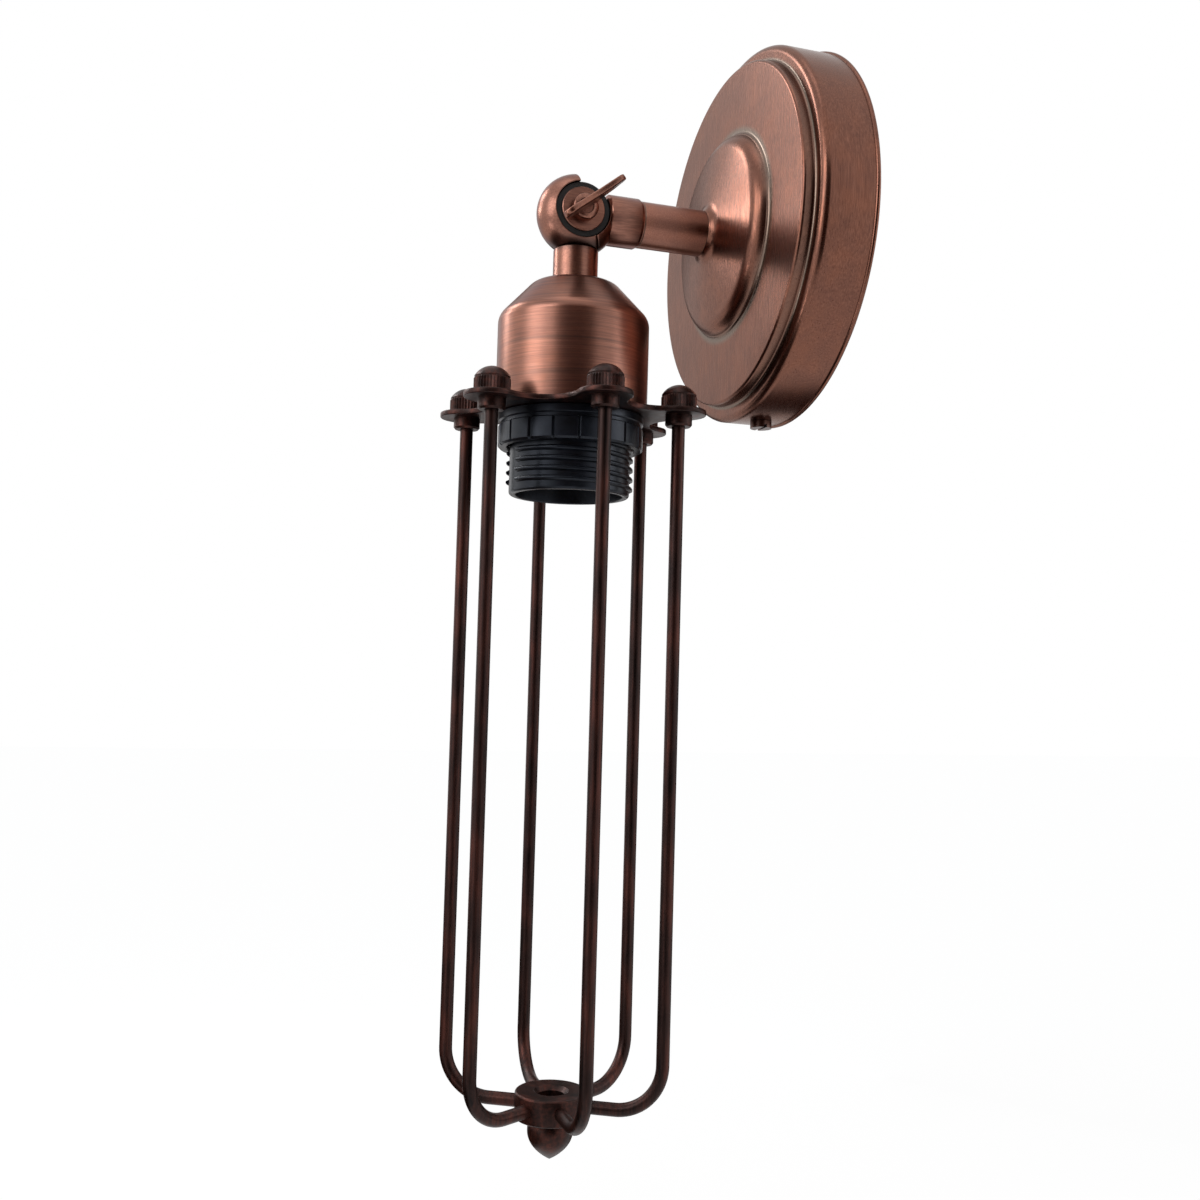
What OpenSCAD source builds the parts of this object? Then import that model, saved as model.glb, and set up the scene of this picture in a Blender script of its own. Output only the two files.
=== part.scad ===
/* [Wall rose] */
// Diameter of the rose over the rolled bead at the wall
rose_d = 120; // [100:1:160]
// Height of the rolled bead against the wall
bead_h = 1.5; // [1:0.1:3]
// How far the bead stands out past the skirt
bead_lip = 0.6; // [0.3:0.1:1.5]
// Depth of the shoulder from the wall
shoulder_depth = 18.2; // [15:0.1:26]
// Rounding radius of the shoulder
shoulder_round = 2.4; // [1.4:0.1:4]
// Width from the skirt in to the raised disc
shoulder_w = 5.2; // [4.2:0.1:9]
// Height of the raised disc above the shoulder
disc_rise = 3.9; // [2:0.1:6]
// Rounding radius of the raised disc's edge
disc_round = 1; // [0.4:0.1:1.6]
// Diameter of the dome at its foot
dome_d = 64; // [44:0.5:76]
// Height of the dome's shoulder above the disc
dome_rise = 4.7; // [3:0.1:8]
// Rounding radius of the dome's shoulder
dome_round = 5.6; // [2.5:0.1:6]
// Slope of the dome's crown from the shoulder up to the neck, in degrees
crown_slope = 9; // [2:0.5:12]
// Radius of the hollow curve between the crown and the neck's mouth
neck_flare = 5; // [3:0.5:8]
// Height of the neck's mouth over the crown
neck_len = 1.5; // [1:0.1:3]
// Thickness of the pressed sheet
rose_wall = 1.1; // [0.8:0.1:1.6]

/* [Bracket and terminals] */
// Width of the bracket strap
strap_w = 20; // [16:0.5:24]
// Thickness of the bracket strap
strap_t = 1.5; // [1:0.1:2]
// Distance between the centres of the two wall screw slots
slot_spacing = 60; // [56:1:64]
// Width of a wall screw slot
slot_w = 5; // [4:0.1:6]
// Length of a wall screw slot between its round ends, ends included
slot_len = 20; // [10:0.5:22]
// Height of the side screws from the wall
side_screw_depth = 8.5; // [7:0.1:11]
// Diameter of the side screws' thread
side_screw_d = 4; // [3:0.1:5]
// Diameter of a side screw's head
side_head_d = 6.9; // [6:0.1:9]
// Height of a side screw's head
side_head_h = 2.2; // [1.5:0.1:3]
// Distance between neighbouring poles of the terminal block
pole_pitch = 9; // [8.5:0.1:10]
// Length of the terminal block along the strap
block_len = 17; // [14:0.5:20]
// Height of the terminal block above the strap
block_h = 11.5; // [10:0.1:13]
// Distance from the strap's centre down to the earth screw
earth_drop = 12; // [11:0.1:13]

/* [Arm] */
// Diameter of the arm tube
tube_d = 14.4; // [13:0.1:17]
// Length of the arm tube
tube_len = 21.2; // [14:0.1:60]
// Wall of the arm tube
tube_wall = 1; // [0.8:0.1:1.4]
// Length of the spigot between tube and collar
spigot_len = 0.4; // [0.3:0.1:4]
// How far the collar stands out past the tube
collar_lip = 0.6; // [0.3:0.1:1.2]
// Length of the collar, bevel included
collar_len = 10.8; // [6:0.1:12]
// Distance from the collar to the tilt pivot
pivot_run = 9.2; // [9:0.1:14]
// Outer diameter of the hollow threaded rods
nipple_d = 10; // [9.5:0.1:10.5]
// Bore of the hollow threaded rods
nipple_bore = 7.2; // [7:0.1:7.6]
// Distance across the flats of the hollow rods' nuts
locknut_af = 14; // [13:0.5:16]
// Thickness of the hollow rods' nuts
locknut_t = 3.6; // [3:0.1:4]
// Thickness of the washers under those nuts
washer_t = 1; // [0.6:0.1:1.2]
// Diameter of one lead over its insulation
lead_d = 2; // [1.8:0.1:2.1]

/* [Tilting knuckle] */
// Radius of the knuckle at its middle
knuckle_r = 12.8; // [12:0.1:15]
// Width of the knuckle along the pivot
knuckle_w = 14.4; // [14.2:0.1:15]
// Radius of the knuckle's rounded rim
knuckle_round = 8.8; // [8.6:0.1:9.4]
// Radius of the eye that the lamp turns on
eye_r = 8.65; // [8.3:0.05:8.8]
// Radial gap between the eye and the bore round it
eye_gap = 0.05; // [0.03:0.01:0.1]
// Thickness of the knuckle's rear disc, which the wing screw threads into
rear_disc_t = 2.5; // [2:0.1:3]
// How far the lamp tilts out from hanging straight down, in degrees
tilt_range = 50; // [20:1:54]
// Diameter of the wing screw's thread
wing_thread_d = 5; // [4.5:0.1:5.2]
// Thickness of the fibre friction ring
fibre_t = 1.2; // [0.8:0.1:1.4]
// Radius of the clamp washer
clamp_r = 6.85; // [5.5:0.05:7.5]
// Thickness of the clamp washer
clamp_t = 0.8; // [0.5:0.1:1.2]
// Radius of the wing screw's hub
wing_hub_r = 4; // [3.6:0.1:5]
// Height of the wing screw's hub
wing_hub_h = 3; // [2:0.1:5]
// Length of each wing, from the pivot to its tip
wing_span = 11.5; // [9:0.1:15]
// Height of the wing tips above the clamp washer
wing_rise = 13.8; // [10:0.1:18]
// Thickness of the wings
wing_t = 1.8; // [1.5:0.1:4]
// Direction in which the wings lie, in degrees up from the arm
wing_turn = 38; // [0:1:180]

/* [Cup and lampholder] */
// Diameter of the knuckle's neck above the cup
neck_d = 14; // [13.4:0.1:16]
// Distance from the pivot down to the top of the cup
cup_drop = 22; // [19:0.1:24]
// Diameter of the cup
cup_d = 47; // [46:0.1:60]
// Radius of the cup's top, out to where its slope starts
cup_top_r = 12.8; // [11:0.1:16]
// Slope of the cup's shoulder below level, in degrees
cup_slope = 47; // [40:1:56]
// Rounding radius between the cup's top and its slope
cup_top_round = 5; // [2:0.1:8]
// Rounding radius between the cup's slope and its side
cup_side_round = 5; // [2:0.1:8]
// Height of the cup
cup_h = 40; // [39:0.1:60]
// Thickness of the cup's sheet
cup_wall = 0.8; // [0.6:0.1:1]
// Outer diameter of the lampholder's thread
skirt_d = 39.2; // [38.6:0.1:39.6]
// Depth of the lampholder's thread
skirt_thread = 1; // [0.6:0.1:1.2]
// Distance between the lampholder's thread crests
skirt_pitch = 3; // [2.5:0.1:3.6]
// How far the lampholder reaches below the cage collar
skirt_reach = 24.9; // [20:0.1:32]
// Inner diameter of the lampholder's mouth
mouth_d = 33; // [32:0.1:34]
// Diameter of the shade ring
ring_d = 44.8; // [43:0.1:50]
// Height of the shade ring
ring_h = 10.4; // [8:0.1:14]
// Number of grip grooves round the shade ring
ring_grips = 18; // [8:1:30]
// Largest diameter inside the lamp screw shell
shell_d = 26.6; // [26.5:0.05:26.8]
// Depth of the lamp screw thread
shell_thread = 1.1; // [0.9:0.05:1.2]
// Distance between the lamp screw thread's crests
shell_pitch = 3.63; // [3.5:0.01:3.8]
// Length of the lamp screw shell
shell_len = 24; // [20:0.5:26]

/* [Cage] */
// Number of cage rods; the nodes are named for six
rod_count = 6; // [6]
// Distance from the lamp's axis to a rod
rod_circle_r = 33.7; // [32:0.1:60]
// Diameter of a cage rod
rod_d = 4; // [3:0.1:5]
// Radius of the bend at a rod's foot, on its centre line
rod_bend_r = 14; // [8:0.1:18]
// Distance from the cage collar down to the rods' lower run
cage_h = 210.1; // [100:0.5:320]
// Thickness of the cage collar
plate_t = 1.6; // [1.2:0.1:2.5]
// Radius of the rounded lobe round each rod
lobe_r = 8.1; // [7:0.1:9]
// Radius of the collar at the hollows between its lobes
scallop_r = 26.6; // [26:0.1:28]
// Diameter of a dome nut
nut_d = 11; // [9:0.1:13]
// Height of a dome nut's straight band
nut_band_h = 4.3; // [3:0.1:6]
// Height of a dome nut's rounded top
nut_dome_h = 3.5; // [2:0.1:4.5]
// Diameter of a ferrule under the cage collar
ferrule_d = 8.2; // [7:0.1:10]
// Height of a ferrule
ferrule_h = 3.5; // [2:0.1:6]
// Diameter of the hub at the cage's foot
hub_d = 22; // [20:0.1:30]
// Height of the hub
hub_h = 7.8; // [7:0.1:12]
// Diameter of the hub's centre bore
hub_bore = 8; // [6:0.1:9]
// Diameter of the finial
finial_d = 13.9; // [11:0.1:18]
// Height of the finial below the hub
finial_h = 12.4; // [8:0.1:18]

/* [Fits] */
// Radial clearance of threads and pins in their holes
fit = 0.05; // [0.03:0.01:0.1]
// Clearance of pieces that drop in loosely
loose = 0.3; // [0.2:0.05:0.4]

/* [Hidden] */
$fn = 96;

copper = "#8a5a3c";
bronze = "#3a241c";
steel = "#a8a9a8";
brass = "#b59a52";
black = "#1c1d20";
white = "#dcdcd6";
brown = "#6b4026";
blue = "#3f64a0";
green = "#6f9a3c";

// Rose: depths are measured out from the wall
skirt_r = rose_d / 2 - bead_lip;
disc_r = skirt_r - shoulder_w;
disc_depth = shoulder_depth + disc_rise;
dome_centre = [dome_d / 2 - dome_round, disc_depth + dome_rise - dome_round];
dome_depth = dome_centre.y + dome_round / cos(crown_slope)
    + (dome_centre.x - tube_d / 2) * tan(crown_slope);
seam_depth = dome_depth + neck_len;
dome_foot_turn = asin(max(0, dome_round - dome_rise) / dome_round) + 3;
flare_rise = neck_len * cos(crown_slope);
flare_run = sqrt(2 * neck_flare * flare_rise - pow(flare_rise, 2));
flare_centre = [tube_d / 2, seam_depth]
    + (neck_flare - flare_rise) * [sin(crown_slope), cos(crown_slope)]
    + flare_run * [cos(crown_slope), -sin(crown_slope)];
seat_depth = dome_depth - rose_wall - 0.6;
seat_r = locknut_af / 2 / cos(30) + 1.2;

// Arm: stations along its axis, out from the wall
spigot_depth = seam_depth + tube_len;
collar_depth = spigot_depth + spigot_len;
collar_end = collar_depth + collar_len;
arm_reach = collar_end + pivot_run;
arm_nipple_from = seat_depth - washer_t - locknut_t - 1;
arm_nipple_to = collar_end - 1.8;

// Bracket
strap_half = sqrt(pow(skirt_r - rose_wall, 2) - pow(strap_w / 2, 2)) - loose;
tab_depth = side_screw_depth + side_screw_d / 2 + strap_t;
fold_r = strap_t + 0.8;
block_z0 = 0.5;
pole_w = pole_pitch - 4;
pole_z = block_z0 + block_len / 2;
lead_depth = strap_t + 4.5;
tag_t = 0.8;

// Knuckle: stations along the pivot
knuckle_half = knuckle_w / 2;
rim_centre_r = knuckle_r - knuckle_round;
bore_r = eye_r + eye_gap;
lug_bore_r = bore_r + eye_gap;
eye_x0 = rear_disc_t - knuckle_half + 0.1;
fibre_x0 = knuckle_half - fibre_t - 0.6;
clamp_x0 = fibre_x0 + fibre_t;
wing_x0 = clamp_x0 + clamp_t;
lug_from = -60;
lug_to = 30;
head_from = lug_to + tilt_range + 17;
head_to = 360 + lug_from - 1.3;
cavity_r0 = wing_thread_d / 2 + 1.1;
cavity_r1 = eye_r - 1.35;
cavity_half = 2.6;
lead_x = 1.3;
lead_off = 2.1;
lead_turn_r = (cavity_r0 + cavity_r1) / 2 + 0.1;

// Head: heights below the pivot, so every z is negative
cup_top = -cup_drop;
cup_r = cup_d / 2;
cup_bottom = cup_top - cup_h;
cup_corner_z = cup_top - (cup_r - cup_top_r) * tan(cup_slope);
cup_crest = [cup_top_r - cup_top_round * tan(cup_slope / 2), cup_top - cup_top_round];
cup_side = [cup_r - cup_side_round, cup_corner_z - cup_side_round * tan(45 - cup_slope / 2)];
plate_under = cup_bottom - plate_t;
nipple_top = 1 - knuckle_r;
cup_seat = cup_top - cup_wall;
nut_under = cup_seat - washer_t - locknut_t;
boss_top = nut_under - 1;
boss_h = 7;
nipple_foot = boss_top - boss_h;
cap_top = boss_top - 7;
cap_wall = 1.8;
skirt_top = cup_bottom + 8;
skirt_foot = plate_under - skirt_reach;
thread_from = plate_under - 1;
block_top = skirt_top + 5;
block_foot = skirt_top - 6;
contact_sheet = 0.5;
ring_foot = plate_under - ring_h;
terminal_x = 9;
terminal_top = block_top + 5;

// Cage
lobe_at_r = rod_circle_r + 0.3;
scallop_at_r = (pow(lobe_at_r, 2) - pow(scallop_r - lobe_r, 2))
    / (2 * (lobe_at_r * cos(180 / rod_count) - (scallop_r - lobe_r)));
scallop_cut_r = scallop_at_r - scallop_r + 0.05;
rod_top = cup_bottom + nut_band_h + 1.2;
run_z = cup_bottom - cage_h;
rod_inner_r = hub_bore / 2 + 3.5;
hub_top = run_z + hub_h / 2;
hub_foot = run_z - hub_h / 2;
finial_arc_r = (pow(finial_d / 2, 2) + pow(finial_h - 1.2, 2)) / finial_d;

// Places that children are moved to
module from_wall() {
    rotate([90, 0, 0]) children();
}

module on_head() {
    translate([0, -arm_reach, 0]) children();
}

module on_pivot() {
    translate([0, -arm_reach, 0]) rotate([90, 0, 90]) children();
}

module round_cage() {
    for (i = [0 : rod_count - 1])
        rotate([0, 0, i * 360 / rod_count])
            children();
}

// A straight round piece between two heights
module rod_between(r, z0, z1) {
    translate([0, 0, min(z0, z1)]) cylinder(r = r, h = abs(z1 - z0));
}

module tube_between(r, bore, z0, z1) {
    difference() {
        rod_between(r, z0, z1);
        rod_between(bore, min(z0, z1) - 1, max(z0, z1) + 1);
    }
}

module hex_nut(af, bore, z0, z1) {
    difference() {
        translate([0, 0, min(z0, z1)]) cylinder(r = af / 2 / cos(30), h = abs(z1 - z0), $fn = 6);
        rod_between(bore, min(z0, z1) - 1, max(z0, z1) + 1);
    }
}

// A slotted round screw head, seated at height 0
module slotted_head(d, h) {
    difference() {
        cylinder(d = d, h = h);
        translate([-d, -0.5, h - 0.9]) cube([2 * d, 1, 2]);
    }
}

// Points of an arc in an outline
function arc_points(centre, r, from, to) =
    [for (i = [0 : 6]) let (a = from + (to - from) * i / 6) centre + r * [cos(a), sin(a)]];

// Leads: a smooth line through points, and a round tube along it
function between(a, b, c, d, t) =
    (2 * b + (c - a) * t + (2 * a - 5 * b + 4 * c - d) * pow(t, 2)
        + (3 * b - a - 3 * c + d) * pow(t, 3)) / 2;

function smooth_line(pts, steps) =
    let (n = len(pts) - 1)
    concat([for (i = [0 : n - 1]) for (j = [0 : steps - 1])
        between(pts[max(i - 1, 0)], pts[i], pts[i + 1], pts[min(i + 2, n)], j / steps)], [pts[n]]);

module lead(line, sides = 8) {
    n = len(line);
    along = [for (i = [0 : n - 1]) line[min(i + 1, n - 1)] - line[max(i - 1, 0)]];
    across = [for (t = along) cross([1, 0, 0], t) / norm(cross([1, 0, 0], t))];
    beside = [for (i = [0 : n - 1]) cross(along[i], across[i]) / norm(along[i])];
    rings = [for (i = [0 : n - 1]) for (k = [0 : sides - 1])
        line[i] + lead_d / 2 * (across[i] * cos(360 * k / sides) + beside[i] * sin(360 * k / sides))];
    skins = [for (i = [0 : n - 2]) for (k = [0 : sides - 1]) let (m = (k + 1) % sides)
        [i * sides + k, (i + 1) * sides + k, (i + 1) * sides + m, i * sides + m]];
    split = [for (f = skins) each [[f[0], f[1], f[2]], [f[0], f[2], f[3]]]];
    first = [for (k = [1 : sides - 2]) [0, k, k + 1]];
    last = [for (k = [1 : sides - 2]) [(n - 1) * sides, (n - 1) * sides + k + 1, (n - 1) * sides + k]];
    polyhedron(points = rings, faces = concat(split, first, last));
}

module wall_bracket() {
    color(steel) difference() {
        rotate([90, 0, 90])
            translate([0, 0, -strap_w / 2])
                linear_extrude(strap_w)
                    strap_side();
        for (side = [-1, 1]) {
            translate([0, 0, side * slot_spacing / 2]) slot_cut();
            translate([0, -side_screw_depth, side * strap_half])
                cylinder(r = side_screw_d / 2 + fit, h = 4 * strap_t, center = true);
        }
        translate([0, 0, -earth_drop]) from_wall()
            cylinder(r = side_screw_d / 2 + fit, h = 4 * strap_t, center = true);
        translate([pole_pitch / 2, 0, pole_z]) from_wall()
            cylinder(r = 1.25 + fit, h = 4 * strap_t, center = true);
    }
}

// Side view of the strap: a flat back with a tab folded out at each end
module strap_side() {
    translate([-strap_t, -strap_half + fold_r]) square([strap_t, 2 * (strap_half - fold_r)]);
    for (side = [0, 1]) mirror([0, side]) {
        translate([-tab_depth, strap_half - strap_t]) square([tab_depth - fold_r, strap_t]);
        translate([-fold_r, strap_half - fold_r]) difference() {
            intersection() {
                circle(fold_r);
                square(fold_r + 1);
            }
            circle(fold_r - strap_t);
        }
    }
}

module slot_cut() {
    straight = slot_len - slot_w;
    from_wall() translate([0, 0, -1]) {
        translate([-slot_w / 2, -straight / 2, 0]) cube([slot_w, straight, strap_t + 2]);
        for (side = [-1, 1])
            translate([0, side * straight / 2, 0]) cylinder(d = slot_w, h = strap_t + 2);
    }
}

// The pressed rose's surface in section, drawn inset that far inside, from its crown to its foot
function rose_line(inset, foot) = let (
    r = skirt_r - inset,
    disc = disc_r - inset,
    corner = shoulder_round - min(inset, shoulder_round - 0.3),
    dome = dome_round - inset)
    concat(
        arc_points(dome_centre, dome, 90 - crown_slope, dome_foot_turn),
        [[dome_centre.x + dome * cos(dome_foot_turn), disc_depth - inset]],
        arc_points([disc - disc_round, disc_depth - inset - disc_round], disc_round, 90, 0),
        [[disc, shoulder_depth - inset]],
        arc_points([r - corner, shoulder_depth - inset - corner], corner, 90, 0),
        [[r, foot]]);

module wall_rose() {
    crown_inside = dome_centre.y + (dome_round - rose_wall) / cos(crown_slope)
        + dome_centre.x * tan(crown_slope);
    mouth = [tube_d / 2, seam_depth] - flare_centre;
    color(copper) from_wall() difference() {
        rotate_extrude() polygon(concat(
            [[0, 0], [0, seam_depth]],
            arc_points(flare_centre, neck_flare, atan2(mouth.y, mouth.x), -90 - crown_slope),
            rose_line(0, bead_h),
            [[rose_d / 2, bead_h], [rose_d / 2, 0]]));
        difference() {
            rotate_extrude() polygon(concat(
                [[0, -1], [0, crown_inside]],
                rose_line(rose_wall, -1)));
            rod_between(seat_r, seat_depth, dome_depth);
        }
        rod_between(nipple_d / 2 + fit, 0, seam_depth + 1);
        for (side = [-1, 1])
            translate([0, side * skirt_r, side_screw_depth]) rotate([90, 0, 0])
                cylinder(r = side_screw_d / 2 + 0.2, h = 6, center = true);
    }
}

module rose_side_screws() {
    color(copper) for (side = [0, 1])
        mirror([0, 0, side]) translate([0, -side_screw_depth, skirt_r]) {
            slotted_head(side_head_d, side_head_h);
            rod_between(side_screw_d / 2, -6, 0.1);
        }
}

// Terminal block: a moulded base with a tower over each pole
module terminal_block() {
    w = 2 * pole_pitch + pole_w + 3;
    base_h = 6;
    color(white) difference() {
        translate([0, 0, block_z0]) union() {
            translate([-w / 2, -strap_t - base_h, 0]) cube([w, base_h, block_len]);
            for (i = [-1 : 1])
                translate([i * pole_pitch - pole_w / 2, -strap_t - block_h, 2])
                    cube([pole_w, block_h, block_len - 4]);
        }
        for (i = [-1 : 1]) translate([i * pole_pitch, 0, 0]) {
            translate([0, -lead_depth, block_z0 - 1]) cylinder(d = lead_d + 1.2, h = block_len + 2);
            translate([0, 0, pole_z]) from_wall()
                rod_between(1.8 + fit, lead_depth, strap_t + block_h + 1);
        }
        translate([pole_pitch / 2, 0, pole_z]) from_wall()
            rod_between(1.25 + fit, 0, block_h);
    }
}

module terminal_screws() {
    color(brass) for (i = [-1 : 1])
        translate([i * pole_pitch, 0, pole_z]) from_wall()
            translate([0, 0, lead_depth + lead_d / 2 + 0.1])
                slotted_head(3.6, block_h - 4.5 - lead_d / 2 - 0.9);
}

module terminal_block_screw() {
    color(steel) translate([pole_pitch / 2, 0, pole_z]) from_wall() {
        translate([0, 0, strap_t + 6]) slotted_head(3.6, 1.8);
        rod_between(1.25, 0.1, strap_t + 6.1);
    }
}

module earth_screw() {
    color(brass) translate([0, 0, -earth_drop]) from_wall() {
        translate([0, 0, strap_t + tag_t]) slotted_head(side_head_d, side_head_h);
        rod_between(side_screw_d / 2, 0.1, strap_t + tag_t + 0.1);
    }
}

// Earth lead: from the middle pole down to a flat tag under the earth screw
module earth_lead() {
    tail = strap_t + tag_t + lead_d / 2;
    color(green) {
        lead(smooth_line([
            [0, -lead_depth, pole_z],
            [0, -lead_depth, 1],
            [0, -lead_depth + 1, -1.4],
            [0, -tail - 0.3, -3.6],
            [0, -tail, -5],
            [0, -tail, -earth_drop + side_head_d / 2 + 0.6]], 3));
        translate([0, 0, -earth_drop]) from_wall()
            tube_between(side_head_d / 2 + 0.3, side_screw_d / 2 + fit, strap_t, strap_t + tag_t);
        translate([-1.5, -strap_t - tag_t, -earth_drop + side_screw_d / 2 + 0.6])
            cube([3, tag_t, earth_drop - side_screw_d / 2 - 4.6]);
    }
}

module arm_nipple() {
    color(steel) from_wall()
        tube_between(nipple_d / 2, nipple_bore / 2, arm_nipple_from, arm_nipple_to);
}

module arm_washer() {
    color(steel) from_wall()
        tube_between(seat_r - 0.4, nipple_d / 2 + fit, seat_depth - washer_t, seat_depth);
}

module arm_locknut() {
    color(brass) from_wall()
        hex_nut(locknut_af, nipple_d / 2 + fit,
            seat_depth - washer_t - locknut_t, seat_depth - washer_t);
}

module arm_tube() {
    color(copper) from_wall()
        tube_between(tube_d / 2, tube_d / 2 - tube_wall, seam_depth, spigot_depth);
}

// The knuckle's rounded drum in section: x is the radius, y runs along the pivot
module drum_section(inner_r) {
    difference() {
        union() {
            intersection() {
                translate([rim_centre_r, 0]) circle(knuckle_round);
                translate([0, -knuckle_half]) square([knuckle_r + 1, knuckle_w]);
            }
            translate([0, -knuckle_half]) square([rim_centre_r + 1, knuckle_w]);
        }
        translate([-1, -knuckle_half - 1]) square([inner_r + 1, knuckle_w + 2]);
    }
}

module drum_sector(from, to, inner_r) {
    rotate([0, 0, from]) rotate_extrude(angle = to - from) drum_section(inner_r);
}

// Arm half of the knuckle: collar, stop lug and the eye that the lamp turns on
module knuckle_arm() {
    collar_r = tube_d / 2 + collar_lip;
    color(copper) difference() {
        union() {
            from_wall() {
                rod_between(tube_d / 2, spigot_depth, collar_depth + 0.1);
                translate([0, 0, collar_depth]) rotate_extrude() polygon([
                    [0, 0], [tube_d / 2 + 0.1, 0], [collar_r, 1.7], [collar_r, collar_len - 0.3],
                    [collar_r - 0.3, collar_len], [0, collar_len]]);
            }
            on_pivot() {
                drum_sector(lug_from, lug_to, lug_bore_r);
                rotate([0, 0, 180]) rod_between(eye_r, eye_x0, fibre_x0);
                rotate([0, 0, lug_from + 1]) rotate_extrude(angle = lug_to - lug_from - 2)
                    translate([eye_r - 1.2, eye_x0]) square([2.4, fibre_x0 - eye_x0]);
            }
        }
        on_pivot() {
            tube_between(cavity_r1, cavity_r0, -cavity_half, cavity_half);
            rod_between(wing_thread_d / 2 + fit, -knuckle_w, knuckle_w);
            rotate([0, 0, 270 - tilt_range - 12]) rotate_extrude(angle = tilt_range + 38)
                translate([cavity_r1 - 0.5, -cavity_half]) square([3, 2 * cavity_half]);
        }
        from_wall() {
            rod_between(nipple_d / 2 + fit, spigot_depth - 1, arm_nipple_to + 0.3);
            rod_between(nipple_bore / 2, arm_nipple_to, arm_reach - cavity_r0 - 1.2);
        }
    }
}

module friction_ring() {
    color(black) on_pivot()
        tube_between(eye_r - 0.05, wing_thread_d / 2 + fit, fibre_x0, clamp_x0);
}

module clamp_washer() {
    color(copper) on_pivot()
        tube_between(clamp_r, wing_thread_d / 2 + fit, clamp_x0, wing_x0);
}

// A lead's arm part: out of its pole, through the hollow rod and round inside the eye
module arm_lead(side) {
    turn_from = -asin(lead_off / lead_turn_r);
    route = concat(
        smooth_line([
            [side * pole_pitch, -lead_depth, pole_z],
            [side * pole_pitch, -lead_depth, 0],
            [side * pole_pitch, -9, -4],
            [side * 5.5, -13, -5.6],
            [side * 1.9, -arm_nipple_from + 2.8, -3],
            [side * lead_x, -arm_nipple_from, -lead_off],
            [side * lead_x, -arm_nipple_from - 4, -lead_off]], 3),
        [for (a = [turn_from : -7 : -48])
            [side * lead_x, -arm_reach + lead_turn_r * cos(a), lead_turn_r * sin(a)]]);
    lead(route);
}

module lead_live_arm() {
    color(brown) arm_lead(-1);
}

module lead_neutral_arm() {
    color(blue) arm_lead(1);
}

// Head half of the knuckle: hooked round the eye, with a rear disc and the neck below
module knuckle_head() {
    color(copper) difference() {
        union() {
            on_pivot() {
                drum_sector(head_from, head_to, bore_r - 1);
                rod_between(bore_r, -knuckle_half, rear_disc_t - knuckle_half);
            }
            difference() {
                on_head() rod_between(neck_d / 2, cup_top, -bore_r + 1);
                on_pivot() rotate([0, 0, head_to]) translate([0, 0, -knuckle_w])
                    cube([knuckle_r + 0.3, knuckle_r, 2 * knuckle_w]);
            }
        }
        on_pivot() {
            rod_between(bore_r, rear_disc_t - knuckle_half, knuckle_half + 1);
            rod_between(wing_thread_d / 2 + fit, -knuckle_w, 0);
        }
        on_head() {
            rod_between(nipple_d / 2 + fit, cup_top - 1, nipple_top + 0.3);
            rod_between(nipple_bore / 2, cup_top, -bore_r + 1);
        }
    }
}

module head_nipple() {
    color(steel) on_head()
        tube_between(nipple_d / 2, nipple_bore / 2, nipple_foot, nipple_top);
}

module cup_washer() {
    color(steel) on_head()
        tube_between(locknut_af / 2 + 1, nipple_d / 2 + fit, cup_seat - washer_t, cup_seat);
}

module cup_locknut() {
    color(brass) on_head()
        hex_nut(locknut_af, nipple_d / 2 + fit, nut_under, cup_seat - washer_t);
}

// The cup's surface in section, drawn inset that far inside, from its axis to its foot
function cup_line(inset) = concat(
    [[nipple_d / 2 + fit, cup_top - inset]],
    arc_points(cup_crest, cup_top_round - inset, 90, 90 - cup_slope),
    arc_points(cup_side, cup_side_round - inset, 90 - cup_slope, 0),
    [[cup_r - inset, cup_bottom]]);

module lampholder_cup() {
    outside = cup_line(0);
    inside = cup_line(cup_wall);
    color(copper) on_head() rotate_extrude()
        polygon(concat(outside, [for (i = [len(inside) - 1 : -1 : 0]) inside[i]]));
}

// Lampholder cap: a threaded boss on the hollow rod, and a shell that the skirt plugs into
module holder_cap() {
    out = cup_r - cup_wall - 1.2;
    bore = skirt_d / 2 + fit;
    color(black) on_head() rotate_extrude() polygon([
        [nipple_d / 2 + fit, boss_top], [nipple_d / 2 + 3, boss_top],
        [nipple_d / 2 + 3, cap_top], [nipple_d / 2 + 7, cap_top - 1.2],
        [out - 1.5, cap_top - 6.5], [out, cap_top - 10],
        [out, cup_bottom + 1.6], [out + 0.8, cup_bottom + 1.6],
        [out + 0.8, cup_bottom], [bore, cup_bottom],
        [bore, cap_top - 10.8], [bore - 0.9, cap_top - 8.6],
        [nipple_d / 2 + 6.3, cap_top - 1.2 - cap_wall], [nipple_d / 2 + fit, cap_top - 1.2 - cap_wall]]);
}

// Lampholder skirt: a threaded outside for the shade ring, plugged into the cap
module holder_skirt() {
    core = skirt_d / 2 - skirt_thread;
    crests = floor((thread_from - skirt_foot - 2) / skirt_pitch);
    thread = [for (i = [0 : crests]) let (z = thread_from - i * skirt_pitch) each [
        [core, z + 0.9], [skirt_d / 2, z + 0.35], [skirt_d / 2, z - 0.35], [core, z - 0.9]]];
    color(black) on_head() rotate_extrude() polygon(concat(
        [[mouth_d / 2, skirt_top], [skirt_d / 2, skirt_top], [skirt_d / 2, cup_bottom], [core, cup_bottom]],
        thread,
        [[core, skirt_foot + 1], [core - 0.3, skirt_foot + 0.3], [core - 1, skirt_foot],
            [mouth_d / 2, skirt_foot]]));
}

module contact_block() {
    color(white) on_head() {
        rod_between(mouth_d / 2 - loose, block_foot, skirt_top + 0.1);
        rod_between(skirt_d / 2 - loose, skirt_top, block_top);
    }
}

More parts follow.
